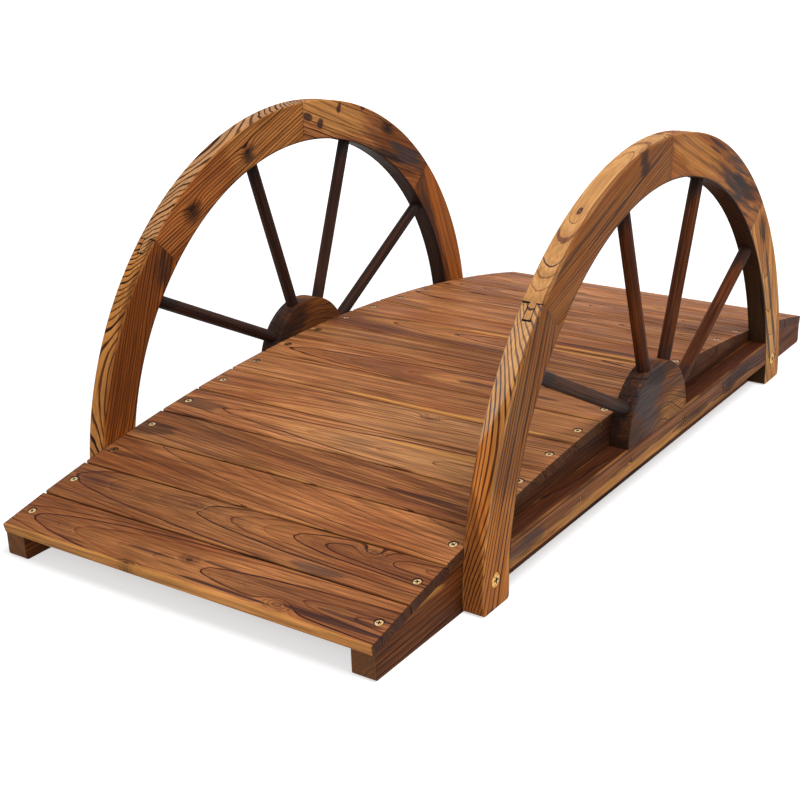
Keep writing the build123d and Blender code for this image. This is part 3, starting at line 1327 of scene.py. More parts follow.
@dataclass(frozen=True)
class Deck:
    """The seventeen planks on their curved row of seats, and the screws that hold them."""

    length: float = 1.320
    rise: float = 0.0745
    overhang: float = 0.0025
    width: float = 0.592
    plank_count: int = 17
    plank_thickness: float = 2 * PLANK_TOP
    plank_gap: float = 0.003
    stringer_height: float = 0.1075
    screw_row: float = 0.280
    screw_sink: float = 0.0003
    # Painted shade and light: each plank's brightness from the front end. The front planks, which tilt away
    # from the light, are darker, and the fifth and sixth are lighter.
    painted_light_levels: tuple[float, ...] = (0.84, 0.78, 0.90, 0.98, 1.10, 1.10, 1.0)
    band_strengths: tuple[float, ...] = (0.2, 0.2, 0.25, 0.35, 0.35)
    gold_strengths: tuple[float, ...] = (0.1, 0.1, 0.15, 0.25, 0.3)
    arched_planks: tuple[int, ...] = (0, 4, 9, 13)
    arched_share: float = 0.3
    arched_widening: float = 1.25
    arched_bold: float = 0.75
    screw_shade_radius: float = 0.0070
    finish: CharredWood = CharredWood(
        pale=tint(196, 130, 80),
        warm=tint(158, 93, 54),
        line=tint(50, 28, 24),
        soot=tint(70, 42, 34),
        end=tint(44, 25, 17),
        arris=tint(214, 150, 84),
        line_strength=0.85,
        fine_strength=0.28,
        grade_strength=0.2,
        heart_strength=0.4,
        band_strength=0.35,
        gold_strength=0.3,
        soot_strength=0.4,
        arris_strength=0.3,
    )

    @property
    def seat_radius(self) -> float:
        """Radius of the circle that the seats touch."""
        return (self.length**2 / 4 + self.rise**2) / (2 * self.rise)

    @property
    def seat_step(self) -> float:
        """Angle from one seat to the next."""
        return 2 * math.asin((self.length / 2 + self.overhang) / self.seat_radius) / self.plank_count

    @property
    def plank_width(self) -> float:
        """Width of a plank."""
        return 2 * self.seat_radius * math.tan(self.seat_step / 2) - self.plank_gap

    def board(self, index: int) -> Board:
        """Gives a plank's place.

        Args:
            index: The plank's number, from 0 at the front end.

        Returns:
            Its board, with the grain across the walkway and its way across to the front.
        """
        angle = (index - (self.plank_count - 1) / 2) * self.seat_step
        out = Vector((math.sin(angle), 0.0, math.cos(angle)))
        centre = Vector((0.0, 0.0, self.stringer_height - self.seat_radius))
        origin = centre + out * (self.seat_radius + self.plank_thickness / 2)
        across = Vector((-math.cos(angle), 0.0, math.sin(angle)))
        half = (self.width / 2, self.plank_width / 2, self.plank_thickness / 2)
        return Board(origin, Vector((0.0, 1.0, 0.0)), across, half)

    def figures(self) -> list[Figure]:
        """Gives each plank its own cut through a log, with the marks of those that stand out.

        Returns:
            One figure for each plank, from the front end. Near the pith the rings show as arches.
        """
        draw = random.Random(7)
        marks = plank_marks()
        found = []
        for index in range(self.plank_count):
            knots, patches = marks.get(index, ((), ()))
            spacing, bold = draw.uniform(0.0034, 0.0048), draw.uniform(0.28, 0.42)
            if index in self.arched_planks or draw.random() < self.arched_share:
                pith = (draw.uniform(-0.018, 0.018), -draw.uniform(0.025, 0.040))
                spacing, bold = self.arched_widening * spacing, self.arched_bold
            else:
                pith = (draw.choice((-1, 1)) * draw.uniform(0.05, 0.11), -draw.uniform(0.03, 0.08))
            found.append(
                Figure(
                    pith=pith,
                    slope=(draw.uniform(-0.03, 0.03), draw.uniform(-0.09, -0.03)),
                    flat=1.0,
                    spacing=spacing,
                    wobble=draw.uniform(0.004, 0.010),
                    bold=bold,
                    seed=3.7 * index + draw.random(),
                    knots=knots,
                    patches=patches + self.screw_shade_rings(),
                )
            )
        return found

    def screw_shade_rings(self) -> tuple[Patch, ...]:
        """Gives the painted shade round the two screws of a plank, a dark ring round each head.

        Returns:
            One patch for each screw.
        """
        size = (self.screw_shade_radius, self.screw_shade_radius, 0.02)
        return tuple(
            Patch(Mark.SOOT_AND_SHADE, (side * self.screw_row, -0.0005, PLANK_TOP), size, 0.85, 0.2, edge=0.84)
            for side in (-1, 1)
        )

    def dress(self, nodes: dict[str, Piece], effects: Effects) -> None:
        """Gives the planks their wood.

        Args:
            nodes: The CAD nodes, by name.
            effects: The node groups.
        """
        draw = random.Random(19)
        for index, figure in enumerate(self.figures()):
            name = f"deck_plank_{index + 1:02d}"
            # The level by plank is painted shade and light; the random factor is the plank's own tone.
            level, warmth = held(self.painted_light_levels, index) * draw.uniform(0.92, 1.08), draw.uniform(-0.05, 0.05)
            finish = replace(
                self.finish,
                pale=toned(self.finish.pale, level, warmth),
                warm=toned(self.finish.warm, level, warmth),
                band_strength=held(self.band_strengths, index),
                gold_strength=held(self.gold_strengths, index),
            )
            finish.dress(nodes[name], self.board(index), figure, effects)
            LOG.info("%s: charred plank", name)

    def add_screws(self, screw: Fastener, pattern: Piece) -> None:
        """Puts a screw in each end of each plank.

        Args:
            screw: The deck screw.
            pattern: The modelled deck screw.
        """
        draw = random.Random(3)
        for index in range(self.plank_count):
            frame = self.board(index).frame()
            for side, word in ((-1, "right"), (1, "left")):
                place = Vector((side * self.screw_row, 0.0, self.plank_thickness / 2 - self.screw_sink))
                turn = Matrix.Rotation(draw.uniform(0.0, math.pi / 2), 4, "Z")
                name = f"deck_screw_{word}_{index + 1:02d}"
                screw.copy(pattern, name, frame @ Matrix.Translation(place) @ turn)
                LOG.info("%s: countersunk screw", name)


def plank_streak(
    mark: Mark, start: float, end: float, across: float, width: float, strength: float = 0.8
) -> Patch:
    """Makes a streak along a plank's top, of a full width that is centred across it."""
    size = (0.6 * abs(end - start), 0.6 * width, 0.02)
    return Patch(mark, ((start + end) / 2, across, PLANK_TOP), size, strength, 0.9, edge=0.82)


def plank_marks() -> dict[int, tuple[tuple[Knot, ...], tuple[Patch, ...]]]:
    """Gives the knots and patches of the planks that stand out.

    Returns:
        Each one's knots and patches, by the plank's number from 0.
    """
    shaded = Patch(Mark.UMBER, (0.22, 0.0, 0.0), (0.36, 0.2, 0.05), 0.22, 0.4, Layer.GROUND, 0.2)
    bleached = Patch(Mark.TAN, (-0.10, 0.0, 0.0), (0.24, 0.2, 0.05), 0.22, 0.4, Layer.GROUND, 0.2)
    return {
        0: (
            (
                Knot((-0.151, 0.022, 0.0), 0.013, 0.012, dark=0.15, rings=0.25),
                Knot((0.004, -0.002, 0.0), 0.010, 0.010, dark=0.4, rings=0.2),
                Knot((0.077, 0.034, 0.0), 0.008, 0.008, dark=0.3, rings=0.2),
            ),
            (
                shaded,
                plank_streak(Mark.HEART, -0.165, -0.290, 0.020, 0.008, 0.6),
                plank_streak(Mark.HEART, -0.205, -0.292, 0.008, 0.006, 0.5),
                plank_streak(Mark.HEART, -0.235, -0.292, -0.004, 0.004, 0.4),
                plank_streak(Mark.HEART, -0.013, -0.135, 0.026, 0.004, 0.75),
                plank_streak(Mark.HEART, 0.020, 0.095, 0.004, 0.003, 0.6),
                plank_streak(Mark.HEART, -0.020, -0.080, -0.008, 0.003, 0.5),
                # Painted highlight: a golden band on this plank's front face and front top edge, where the
                # light catches it.
                Patch(Mark.GOLD, (-0.020, 0.038, 0.0), (0.40, 0.008, 0.02), 0.5, 0.8),
            ),
        ),
        1: (
            (
                Knot((-0.203, -0.025, 0.0), 0.012, 0.010, dark=0.15, rings=0.25),
                Knot((0.076, -0.016, 0.0), 0.008, 0.008, dark=0.1, rings=0.15),
            ),
            (
                shaded,
                Patch(Mark.SLATE, (-0.155, 0.030, PLANK_TOP), (0.045, 0.010, 0.02), 0.35),
                plank_streak(Mark.HEART, 0.180, 0.280, -0.010, 0.006, 0.4),
                plank_streak(Mark.HEART, 0.225, 0.292, -0.024, 0.005, 0.35),
            ),
        ),
        2: ((), (shaded, plank_streak(Mark.HEART, 0.200, 0.290, 0.004, 0.006, 0.4))),
        3: (
            (),
            (
                shaded,
                plank_streak(Mark.HEART, -0.140, -0.250, 0.006, 0.008, 0.5),
                Patch(Mark.SOOT_AND_SHADE, (0.270, 0.010, PLANK_TOP), (0.050, 0.020, 0.02), 0.35),
            ),
        ),
        4: (
            (),
            (
                bleached,
                plank_streak(Mark.GOLD, -0.060, -0.240, -0.020, 0.009, 0.7),
                Patch(Mark.SOOT_AND_SHADE, (0.255, 0.000, PLANK_TOP), (0.060, 0.018, 0.02), 0.4),
            ),
        ),
        5: ((Knot((-0.080, -0.022, 0.0), 0.010, 0.010, dark=0.2, rings=0.3),), (bleached,)),
        6: ((), (plank_streak(Mark.GOLD, 0.090, -0.250, 0.033, 0.006, 0.9),)),
        7: ((), (plank_streak(Mark.HEART, -0.060, -0.200, 0.004, 0.010, 0.5),)),
        9: ((), (plank_streak(Mark.GOLD, -0.080, -0.290, -0.028, 0.007, 0.9),)),
        10: (
            (),
            (
                plank_streak(Mark.HEART, -0.070, -0.250, 0.012, 0.009, 0.6),
                plank_streak(Mark.GOLD, 0.050, -0.290, 0.032, 0.006, 0.9),
            ),
        ),
        12: ((), (plank_streak(Mark.GOLD, 0.190, -0.070, 0.020, 0.008, 0.7),)),
    }


FELLOE_NAMES = ("front_leg_felloe", "front_upper_felloe", "back_upper_felloe", "back_leg_felloe")


@dataclass(frozen=True)
class HalfWheel:
    """One side's half wheel with its stringer and rail. The side is -1 on the right, 1 on the left."""

    side: int
    rail_middle: float = 0.056
    hub_radius: float = 0.096
    hub_height: float = 0.075
    stringer_middle: float = 0.054
    rail_half: Place = (0.42, 0.015, 0.019)
    hub_half: Place = (0.096, 0.015, 0.0961)
    stringer_half: Place = (0.660, 0.016, 0.054)
    spoke_radius: float = 0.0095
    tenon_length: float = 0.018
    screw_sink: float = 0.0013
    rail_screws: tuple[float, ...] = (0.090, 0.235)
    bolt_reach: float = 0.4495
    bolt_height: float = 0.038
    spoke_angles: tuple[Steps, ...] = ((146.5, 143.0), (104.5, 104.35), (63.6, 71.2), (18.6, 35.55))

    @property
    def word(self) -> str:
        """The side's word in the names of its pieces."""
        return "right" if self.side < 0 else "left"

    @property
    def outer_face(self) -> float:
        """Y of the outer face."""
        return self.side * (WHEEL.side_face + WHEEL.felloe_thickness)

    def felloe_board(self, index: int) -> Board:
        """Gives a felloe's place, with the grain along its chord and its way across outwards.

        Args:
            index: The felloe's number, from 0 at the front leg.

        Returns:
            Its board.
        """
        ends = (180.0, *WHEEL.joint_angles, 0.0)
        middle = math.radians((ends[index] + ends[index + 1]) / 2)
        out = Vector((math.cos(middle), 0.0, math.sin(middle)))
        chord = Vector((-math.sin(middle), 0.0, math.cos(middle)))
        centre = Vector((0.0, self.side * WHEEL.middle_reach, WHEEL.centre_height))
        half = (0.2, WHEEL.felloe_width / 2, WHEEL.felloe_thickness / 2)
        return Board(centre + out * WHEEL.middle_radius, chord, out, half)

    def spoke_board(self, index: int) -> Board:
        """Gives a spoke's place, with the grain from its hub end to its rim end.

        Args:
            index: The spoke's number, from 0 at the front end.

        Returns:
            Its board.
        """
        hub_angle, rim_angle = (math.radians(angle) for angle in self.spoke_angles[index])
        y = self.side * WHEEL.middle_reach
        hub_top = self.hub_height + self.hub_radius * math.sin(hub_angle)
        hub = Vector((self.hub_radius * math.cos(hub_angle), y, hub_top))
        reach = WHEEL.inner_radius
        rim = Vector((reach * math.cos(rim_angle), y, WHEEL.centre_height + reach * math.sin(rim_angle)))
        along = (rim - hub).normalized()
        half = ((rim - hub).length / 2 + self.tenon_length, self.spoke_radius, self.spoke_radius)
        return Board((hub + rim) / 2, along, Vector((0.0, 1.0, 0.0)), half)

    def level_board(self, reach: float, height: float, half: Place) -> Board:
        """Gives the place of a piece along the walkway, from its middle's reach and height."""
        origin = Vector((0.0, self.side * reach, height))
        return Board(origin, Vector((1.0, 0.0, 0.0)), Vector((0.0, 1.0, 0.0)), half)

    def dress(self, nodes: dict[str, Piece], effects: Effects) -> None:
        """Gives the side's pieces their wood.

        Args:
            nodes: The CAD nodes, by name.
            effects: The node groups.
        """
        felloes = RIGHT_FELLOES if self.side < 0 else LEFT_FELLOES
        for index, name in enumerate(FELLOE_NAMES):
            finish, figure = felloes[index]
            finish.dress(nodes[f"{self.word}_{name}"], self.felloe_board(index), figure, effects)
            LOG.info("%s_%s: charred felloe", self.word, name)
        for index, (finish, figure) in enumerate(spoke_looks(self.side)):
            finish.dress(nodes[f"{self.word}_spoke_{index + 1}"], self.spoke_board(index), figure, effects)
            LOG.info("%s_spoke_%d: charred spoke", self.word, index + 1)
        looks = level_looks(self.side)
        stringer_reach = WHEEL.side_face - self.stringer_half[1]
        places = {
            "rail": self.level_board(WHEEL.middle_reach, self.rail_middle, self.rail_half),
            "hub": self.level_board(WHEEL.middle_reach, self.hub_height, self.hub_half),
            "stringer": self.level_board(stringer_reach, self.stringer_middle, self.stringer_half),
        }
        for name, board in places.items():
            finish, figure = looks[name]
            finish.dress(nodes[f"{self.word}_{name}"], board, figure, effects)
            LOG.info("%s_%s: charred %s", self.word, name, name)

    def outward(self, x: float, height: float, sink: float) -> Matrix:
        """Gives the move that sets a fastener in the outer face, with its head's top sunk under it."""
        turn = Matrix.Rotation(-self.side * math.pi / 2, 4, "X")
        return Matrix.Translation((x, self.outer_face - self.side * sink, height)) @ turn

    def add_fasteners(
        self, screw: Fastener, screw_pattern: Piece, bolt: Fastener, bolt_pattern: Piece
    ) -> None:
        """Puts the screws in the rail and the bolts in the legs.

        Args:
            screw: The wood screw.
            screw_pattern: The modelled wood screw.
            bolt: The leg bolt.
            bolt_pattern: The modelled leg bolt.
        """
        draw = random.Random(5 + self.side)
        reaches = sorted(way * reach for reach in self.rail_screws for way in (-1, 1))
        for number, x in enumerate(reaches, start=1):
            turn = Matrix.Rotation(draw.uniform(0.0, math.pi / 2), 4, "Z")
            name = f"rail_screw_{self.word}_{number}"
            screw.copy(screw_pattern, name, self.outward(x, self.rail_middle, self.screw_sink) @ turn)
            LOG.info("%s: countersunk screw", name)
        for way, end in ((-1, "front"), (1, "back")):
            turn = Matrix.Rotation(draw.uniform(0.0, math.pi / 2), 4, "Z")
            name = f"{self.word}_{end}_bolt"
            place = self.outward(way * self.bolt_reach, self.bolt_height, 0.0) @ turn
            piece = bolt.copy(bolt_pattern, name, place)
            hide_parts(f"{self.word}_{end}_leg_bolt")
            LOG.info("%s: leg bolt", name)


GOLDEN_FELLOE = FelloeWood(
    pale=tint(210, 150, 80),
    warm=tint(180, 113, 50),
    line=tint(44, 26, 20),
    soot=tint(74, 46, 34),
    end=tint(56, 34, 24),
    arris=tint(226, 170, 108),
    line_strength=0.95,
    fine_strength=0.1,
    heart_strength=0.05,
    band_strength=0.2,
    gold_strength=0.3,
    soot_strength=0.4,
    arris_strength=0.3,
    fibre_range=(0.84, 1.12),
)
ORANGE_FELLOE = replace(
    GOLDEN_FELLOE,
    pale=tint(186, 112, 54),
    warm=tint(142, 78, 34),
    line=tint(38, 20, 13),
    soot=tint(54, 30, 21),
    arris=tint(204, 138, 72),
    fine_strength=0.15,
    band_strength=0.3,
    soot_strength=0.45,
)
# The spokes' own charred colours, darkened further as painted shade; both spoke finishes.
SHADED_DARK_SPOKE = CharredWood(
    pale=tint(84, 52, 34),
    warm=tint(56, 33, 22),
    line=tint(26, 18, 17),
    soot=tint(36, 30, 31),
    end=tint(40, 26, 20),
    arris=tint(90, 60, 44),
    line_strength=0.6,
    gold_strength=0.12,
    soot_strength=0.5,
    arris_strength=0.0,
)
SHADED_BROWN_SPOKE = replace(
    SHADED_DARK_SPOKE,
    pale=tint(106, 54, 22),
    warm=tint(68, 31, 12),
    line=tint(34, 19, 14),
    soot=tint(36, 23, 19),
)
RAIL_WOOD = CharredWood(
    pale=tint(156, 96, 48),
    warm=tint(104, 56, 27),
    line=tint(34, 19, 14),
    soot=tint(40, 25, 21),
    end=tint(44, 26, 18),
    arris=tint(190, 126, 60),
    line_strength=0.95,
    fine_strength=0.2,
    heart_strength=0.3,
    band_strength=0.25,
    gold_strength=0.3,
    soot_strength=0.35,
    arris_strength=0.4,
)
# The stringers' own charred colour, darkened further as painted shade for their place under the deck.
SHADED_STRINGER_WOOD = CharredWood(
    pale=tint(120, 65, 27),
    warm=tint(78, 37, 13),
    line=tint(32, 18, 13),
    soot=tint(36, 22, 16),
    end=tint(112, 78, 50),
    end_strength=0.5,
    arris=tint(130, 80, 44),
    line_strength=0.95,
    heart_strength=0.35,
    soot_strength=0.5,
    arris_strength=0.3,
)
# The hub's own charred colour, darkened further as painted shade.
SHADED_HUB_WOOD = CharredWood(
    pale=tint(130, 78, 36),
    warm=tint(88, 46, 20),
    line=tint(30, 20, 17),
    soot=tint(40, 30, 29),
    end=tint(46, 26, 18),
    arris=tint(110, 72, 44),
    heart_strength=0.3,
    soot_strength=0.5,
    arris_strength=0.25,
)


def on_rim(mark: Mark, strength: float, layer: Layer, along: float = 0.0, reach: float = 2.0) -> Patch:
    """Makes a patch on a felloe's curved faces alone, which reaches both ways from its middle along."""
    return Patch(mark, (along, 0.0, 0.05), (reach / 0.6, 1.0, 0.066), strength, 0.06, layer, 0.93)


def on_side(mark: Mark, strength: float, layer: Layer, along: float = 0.0, reach: float = 2.0) -> Patch:
    """Makes a patch on a felloe's right-hand face alone, which reaches both ways from its middle along."""
    return Patch(mark, (along, 0.0, -0.025), (reach / 0.65, 1.0, 0.0145), strength, 0.1, layer, 0.9)


def side_mark(
    mark: Mark,
    along: float,
    out: float,
    size: Steps,
    strength: float,
    fray: float = Patch.fray,
    layer: Layer = Patch.layer,
    edge: float = Patch.edge,
    depth: float = 0.012,
) -> Patch:
    """Makes an oval mark on a felloe's right-hand face, at a place along it and out from its middle."""
    centre = (along, out, -WHEEL.felloe_thickness / 2)
    return Patch(mark, centre, (*size, depth), strength, fray, layer, edge)


RIGHT_FELLOES: tuple[tuple[CharredWood, Figure], ...] = (
    (
        GOLDEN_FELLOE,
        Figure(
            pith=(-0.055, -0.048),
            slope=(0.02, -0.07),
            spacing=0.0034,
            wobble=0.008,
            bold=0.52,
            even=0.7,
            side_bold=0.44,
            side_spacing=0.0056,
            seed=1.3,
            patches=(
                on_rim(Mark.ORANGE, 0.7, Layer.GROUND, 0.13, 0.16),
                on_rim(Mark.BLACK, 1.0, Layer.LINES, 0.10, 0.18),
                on_rim(Mark.MAHOGANY, 0.3, Layer.GROUND, 0.17, 0.10),
                on_rim(Mark.TAN, 0.6, Layer.GROUND, -0.17, 0.12),
                on_rim(Mark.BLUE, 0.8, Layer.LINES, -0.17, 0.12),
                on_side(Mark.AMBER, 0.25, Layer.GROUND),
                on_side(Mark.UMBER, 0.35, Layer.GROUND, -0.13, 0.17),
                Patch(Mark.SOOT_AND_SHADE, (-0.06, 0.000, -0.016), (0.20, 0.003, 0.004), 0.55, 1.6, edge=0.7),
                Patch(Mark.SOOT_AND_SHADE, (-0.10, -0.020, -0.016), (0.14, 0.003, 0.004), 0.55, 1.6, edge=0.7),
                Patch(Mark.SOOT_AND_SHADE, (0.192, -0.03, -0.010), (0.012, 0.020, 0.03), 0.35),
            ),
        ),
    ),
    (
        GOLDEN_FELLOE,
        Figure(
            pith=(0.1124, 0.001),
            slope=(0.04, 0.01),
            oval=2.3,
            spacing=0.0085,
            wobble=0.010,
            bold=0.18,
            even=0.5,
            side_bold=0.36,
            side_spacing=0.0050,
            seed=8.1,
            knots=(Knot((0.050, 0.03, 0.002), 0.009, -0.0055, THROUGH_EDGE, 0.06, 0.05),),
            patches=(
                on_rim(Mark.TAN, 0.34, Layer.GROUND),
                on_rim(Mark.BLUE, 0.2, Layer.LINES),
                on_side(Mark.AMBER, 0.45, Layer.GROUND),
                on_side(Mark.UMBER, 0.36, Layer.GROUND),
                Patch(Mark.SOOT_AND_SHADE, (-0.06, -0.012, -0.016), (0.16, 0.003, 0.004), 0.45, 1.6, edge=0.7),
                Patch(Mark.SOOT_AND_SHADE, (0.08, 0.006, -0.016), (0.14, 0.003, 0.004), 0.4, 1.6, edge=0.7),
                side_mark(Mark.SOOT_AND_SHADE, -0.103, 0.006, (0.019, 0.026), 0.6, 1.6, edge=0.4),
            ),
        ),
    ),
    (
        ORANGE_FELLOE,
        Figure(
            pith=(0.080, -0.030),
            slope=(0.03, 0.02),
            spacing=0.0050,
            wobble=0.014,
            bold=0.2,
            side_bold=0.10,
            seed=14.9,
            patches=(
                on_side(Mark.UMBER, 0.12, Layer.GROUND),
                side_mark(Mark.GOLD, 0.080, -0.012, (0.11, 0.026), 0.3, layer=Layer.GROUND, depth=0.02),
                side_mark(Mark.HEART, 0.030, 0.022, (0.055, 0.0035), 0.75, 1.0, edge=0.5),
                side_mark(Mark.HEART, 0.036, 0.012, (0.035, 0.0025), 0.65, 1.0, edge=0.5),
                side_mark(Mark.UMBER, -0.090, -0.008, (0.13, 0.040), 0.55, 2.6, Layer.GROUND, 0.2, depth=0.02),
                side_mark(Mark.SLATE, -0.065, -0.010, (0.085, 0.040), 0.55, 2.4, edge=0.1, depth=0.02),
                side_mark(Mark.SOOT_AND_SHADE, -0.105, -0.012, (0.090, 0.030), 0.5, 3.0, edge=0.1, depth=0.03),
                Patch(Mark.SOOT_AND_SHADE, (0.145, 0.022, 0.0), (0.030, 0.010, 0.02), 0.6, 2.0),
            ),
        ),
    ),
    (
        GOLDEN_FELLOE,
        Figure(
            pith=(-0.010, 0.045),
            slope=(0.02, -0.09),
            flat=1.0,
            spacing=0.0040,
            wobble=0.008,
            bold=0.35,
            side_bold=0.28,
            side_spacing=0.0060,
            seed=21.4,
            patches=(
                side_mark(Mark.SLATE, -0.010, -0.004, (0.14, 0.006), 0.75, 1.8, edge=0.6, depth=0.01),
                side_mark(Mark.SOOT_AND_SHADE, -0.050, -0.028, (0.13, 0.005), 0.75, 1.8, edge=0.6, depth=0.01),
                side_mark(Mark.SOOT_AND_SHADE, 0.120, -0.010, (0.040, 0.014), 0.6, 2.0, edge=0.4, depth=0.01),
            ),
        ),
    ),
)
LEFT_FELLOES: tuple[tuple[CharredWood, Figure], ...] = (
    (
        ORANGE_FELLOE,
        Figure(
            pith=(-0.090, 0.030),
            slope=(-0.06, 0.0),
            spacing=0.0030,
            wobble=0.010,
            bold=0.46,
            even=0.6,
            side_bold=0.40,
            side_spacing=0.0048,
            seed=31.7,
            patches=(
                on_rim(Mark.GOLD, 0.45, Layer.GROUND),
                on_rim(Mark.BLACK, 0.7, Layer.LINES),
                on_side(Mark.AMBER, 0.75, Layer.GROUND),
                side_mark(Mark.UMBER, -0.06, 0.0, (0.20, 0.06), 0.4, layer=Layer.GROUND),
                side_mark(Mark.SOOT_AND_SHADE, -0.155, -0.037, (0.045, 0.034), 0.5, 1.6, edge=0.2),
                side_mark(Mark.GOLD, 0.090, -0.042, (0.08, 0.010), 0.5, layer=Layer.GROUND),
            ),
        ),
    ),
    (
        ORANGE_FELLOE,
        Figure(
            pith=(-0.100, -0.030),
            spacing=0.0034,
            wobble=0.012,
            bold=0.5,
            even=0.6,
            side_bold=0.40,
            side_spacing=0.0052,
            seed=38.2,
            knots=(
                Knot((0.102, -0.012, 0.0), 0.012, 0.009, dark=0.6, rings=0.2),
                Knot((-0.040, -0.004, 0.0), 0.010, 0.009, dark=0.6, rings=0.2),
            ),
            patches=(
                on_rim(Mark.TAN, 0.5, Layer.GROUND),
                on_side(Mark.AMBER, 0.25, Layer.GROUND),
                on_side(Mark.GOLD, 0.3, Layer.GROUND, -0.12, 0.12),
                side_mark(Mark.CHAR_AND_SHADE, 0.103, -0.018, (0.026, 0.018), 0.65, 2.4, edge=0.1),
                side_mark(Mark.CHAR_AND_SHADE, -0.040, -0.012, (0.018, 0.020), 0.6, 2.4, edge=0.1),
            ),
        ),
    ),
    (
        ORANGE_FELLOE,
        Figure(
            pith=(-0.110, 0.010),
            slope=(-0.05, 0.0),
            spacing=0.0040,
            wobble=0.010,
            bold=0.35,
            side_bold=0.34,
            side_spacing=0.0060,
            seed=44.6,
            knots=(Knot((-0.048, 0.014, 0.0), 0.011, 0.008, dark=0.8, rings=0.2),),
            patches=(
                side_mark(Mark.GOLD, 0.120, 0.000, (0.12, 0.040), 0.5, layer=Layer.GROUND),
                on_side(Mark.TAN, 0.12, Layer.GROUND, 0.10, 0.14),
                side_mark(Mark.UMBER, -0.120, 0.000, (0.15, 0.060), 0.4, layer=Layer.GROUND),
                side_mark(Mark.HEART, 0.171, -0.027, (0.014, 0.007), 0.75, 1.0, edge=0.5),
                side_mark(Mark.HEART, 0.136, -0.028, (0.010, 0.010), 0.75, 1.0, edge=0.5),
                side_mark(Mark.HEART, 0.097, 0.009, (0.007, 0.012), 0.75, 1.0, edge=0.5),
                side_mark(Mark.HEART, 0.034, 0.027, (0.008, 0.006), 0.7, 1.0, edge=0.5),
                side_mark(Mark.SLATE, -0.125, -0.014, (0.080, 0.022), 0.65, 2.2, edge=0.3),
                side_mark(Mark.SOOT_AND_SHADE, -0.060, -0.027, (0.070, 0.007), 0.6),
            ),
        ),
    ),
    (
        ORANGE_FELLOE,
        Figure(
            pith=(-0.080, -0.030),
            spacing=0.0036,
            wobble=0.008,
            bold=0.35,
            side_bold=0.28,
            seed=52.3,
            patches=(
                on_side(Mark.AMBER, 0.5, Layer.GROUND),
                side_mark(Mark.CHAR_AND_SHADE, 0.0, -0.036, (0.30, 0.026), 0.65, edge=0.3),
            ),
        ),
    ),
)


def spoke_looks(side: int) -> list[tuple[CharredWood, Figure]]:
    """Gives the finish and figure of one side's spokes, from the front end.

    Args:
        side: The side, -1 on the right and 1 on the left.

    Returns:
        The finish and figure of each.
    """
    finishes = (SHADED_DARK_SPOKE, SHADED_BROWN_SPOKE, SHADED_BROWN_SPOKE, SHADED_BROWN_SPOKE) if side < 0 else (SHADED_DARK_SPOKE,) * 4
    found = []
    for index, finish in enumerate(finishes):
        patches = (
            Patch(Mark.SOOT_AND_SHADE, (0.14, 0.0, 0.0), (0.05, 0.03, 0.03), 0.6),
            Patch(Mark.SOOT_AND_SHADE, (-0.13, 0.0, 0.0), (0.03, 0.03, 0.03), 0.3),
        )
        seed = 60.0 + 5 * index + side
        figure = Figure(pith=(-0.02, 0.03), spacing=0.0035, wobble=0.006, seed=seed, patches=patches)
        found.append((finish, figure))
    return found


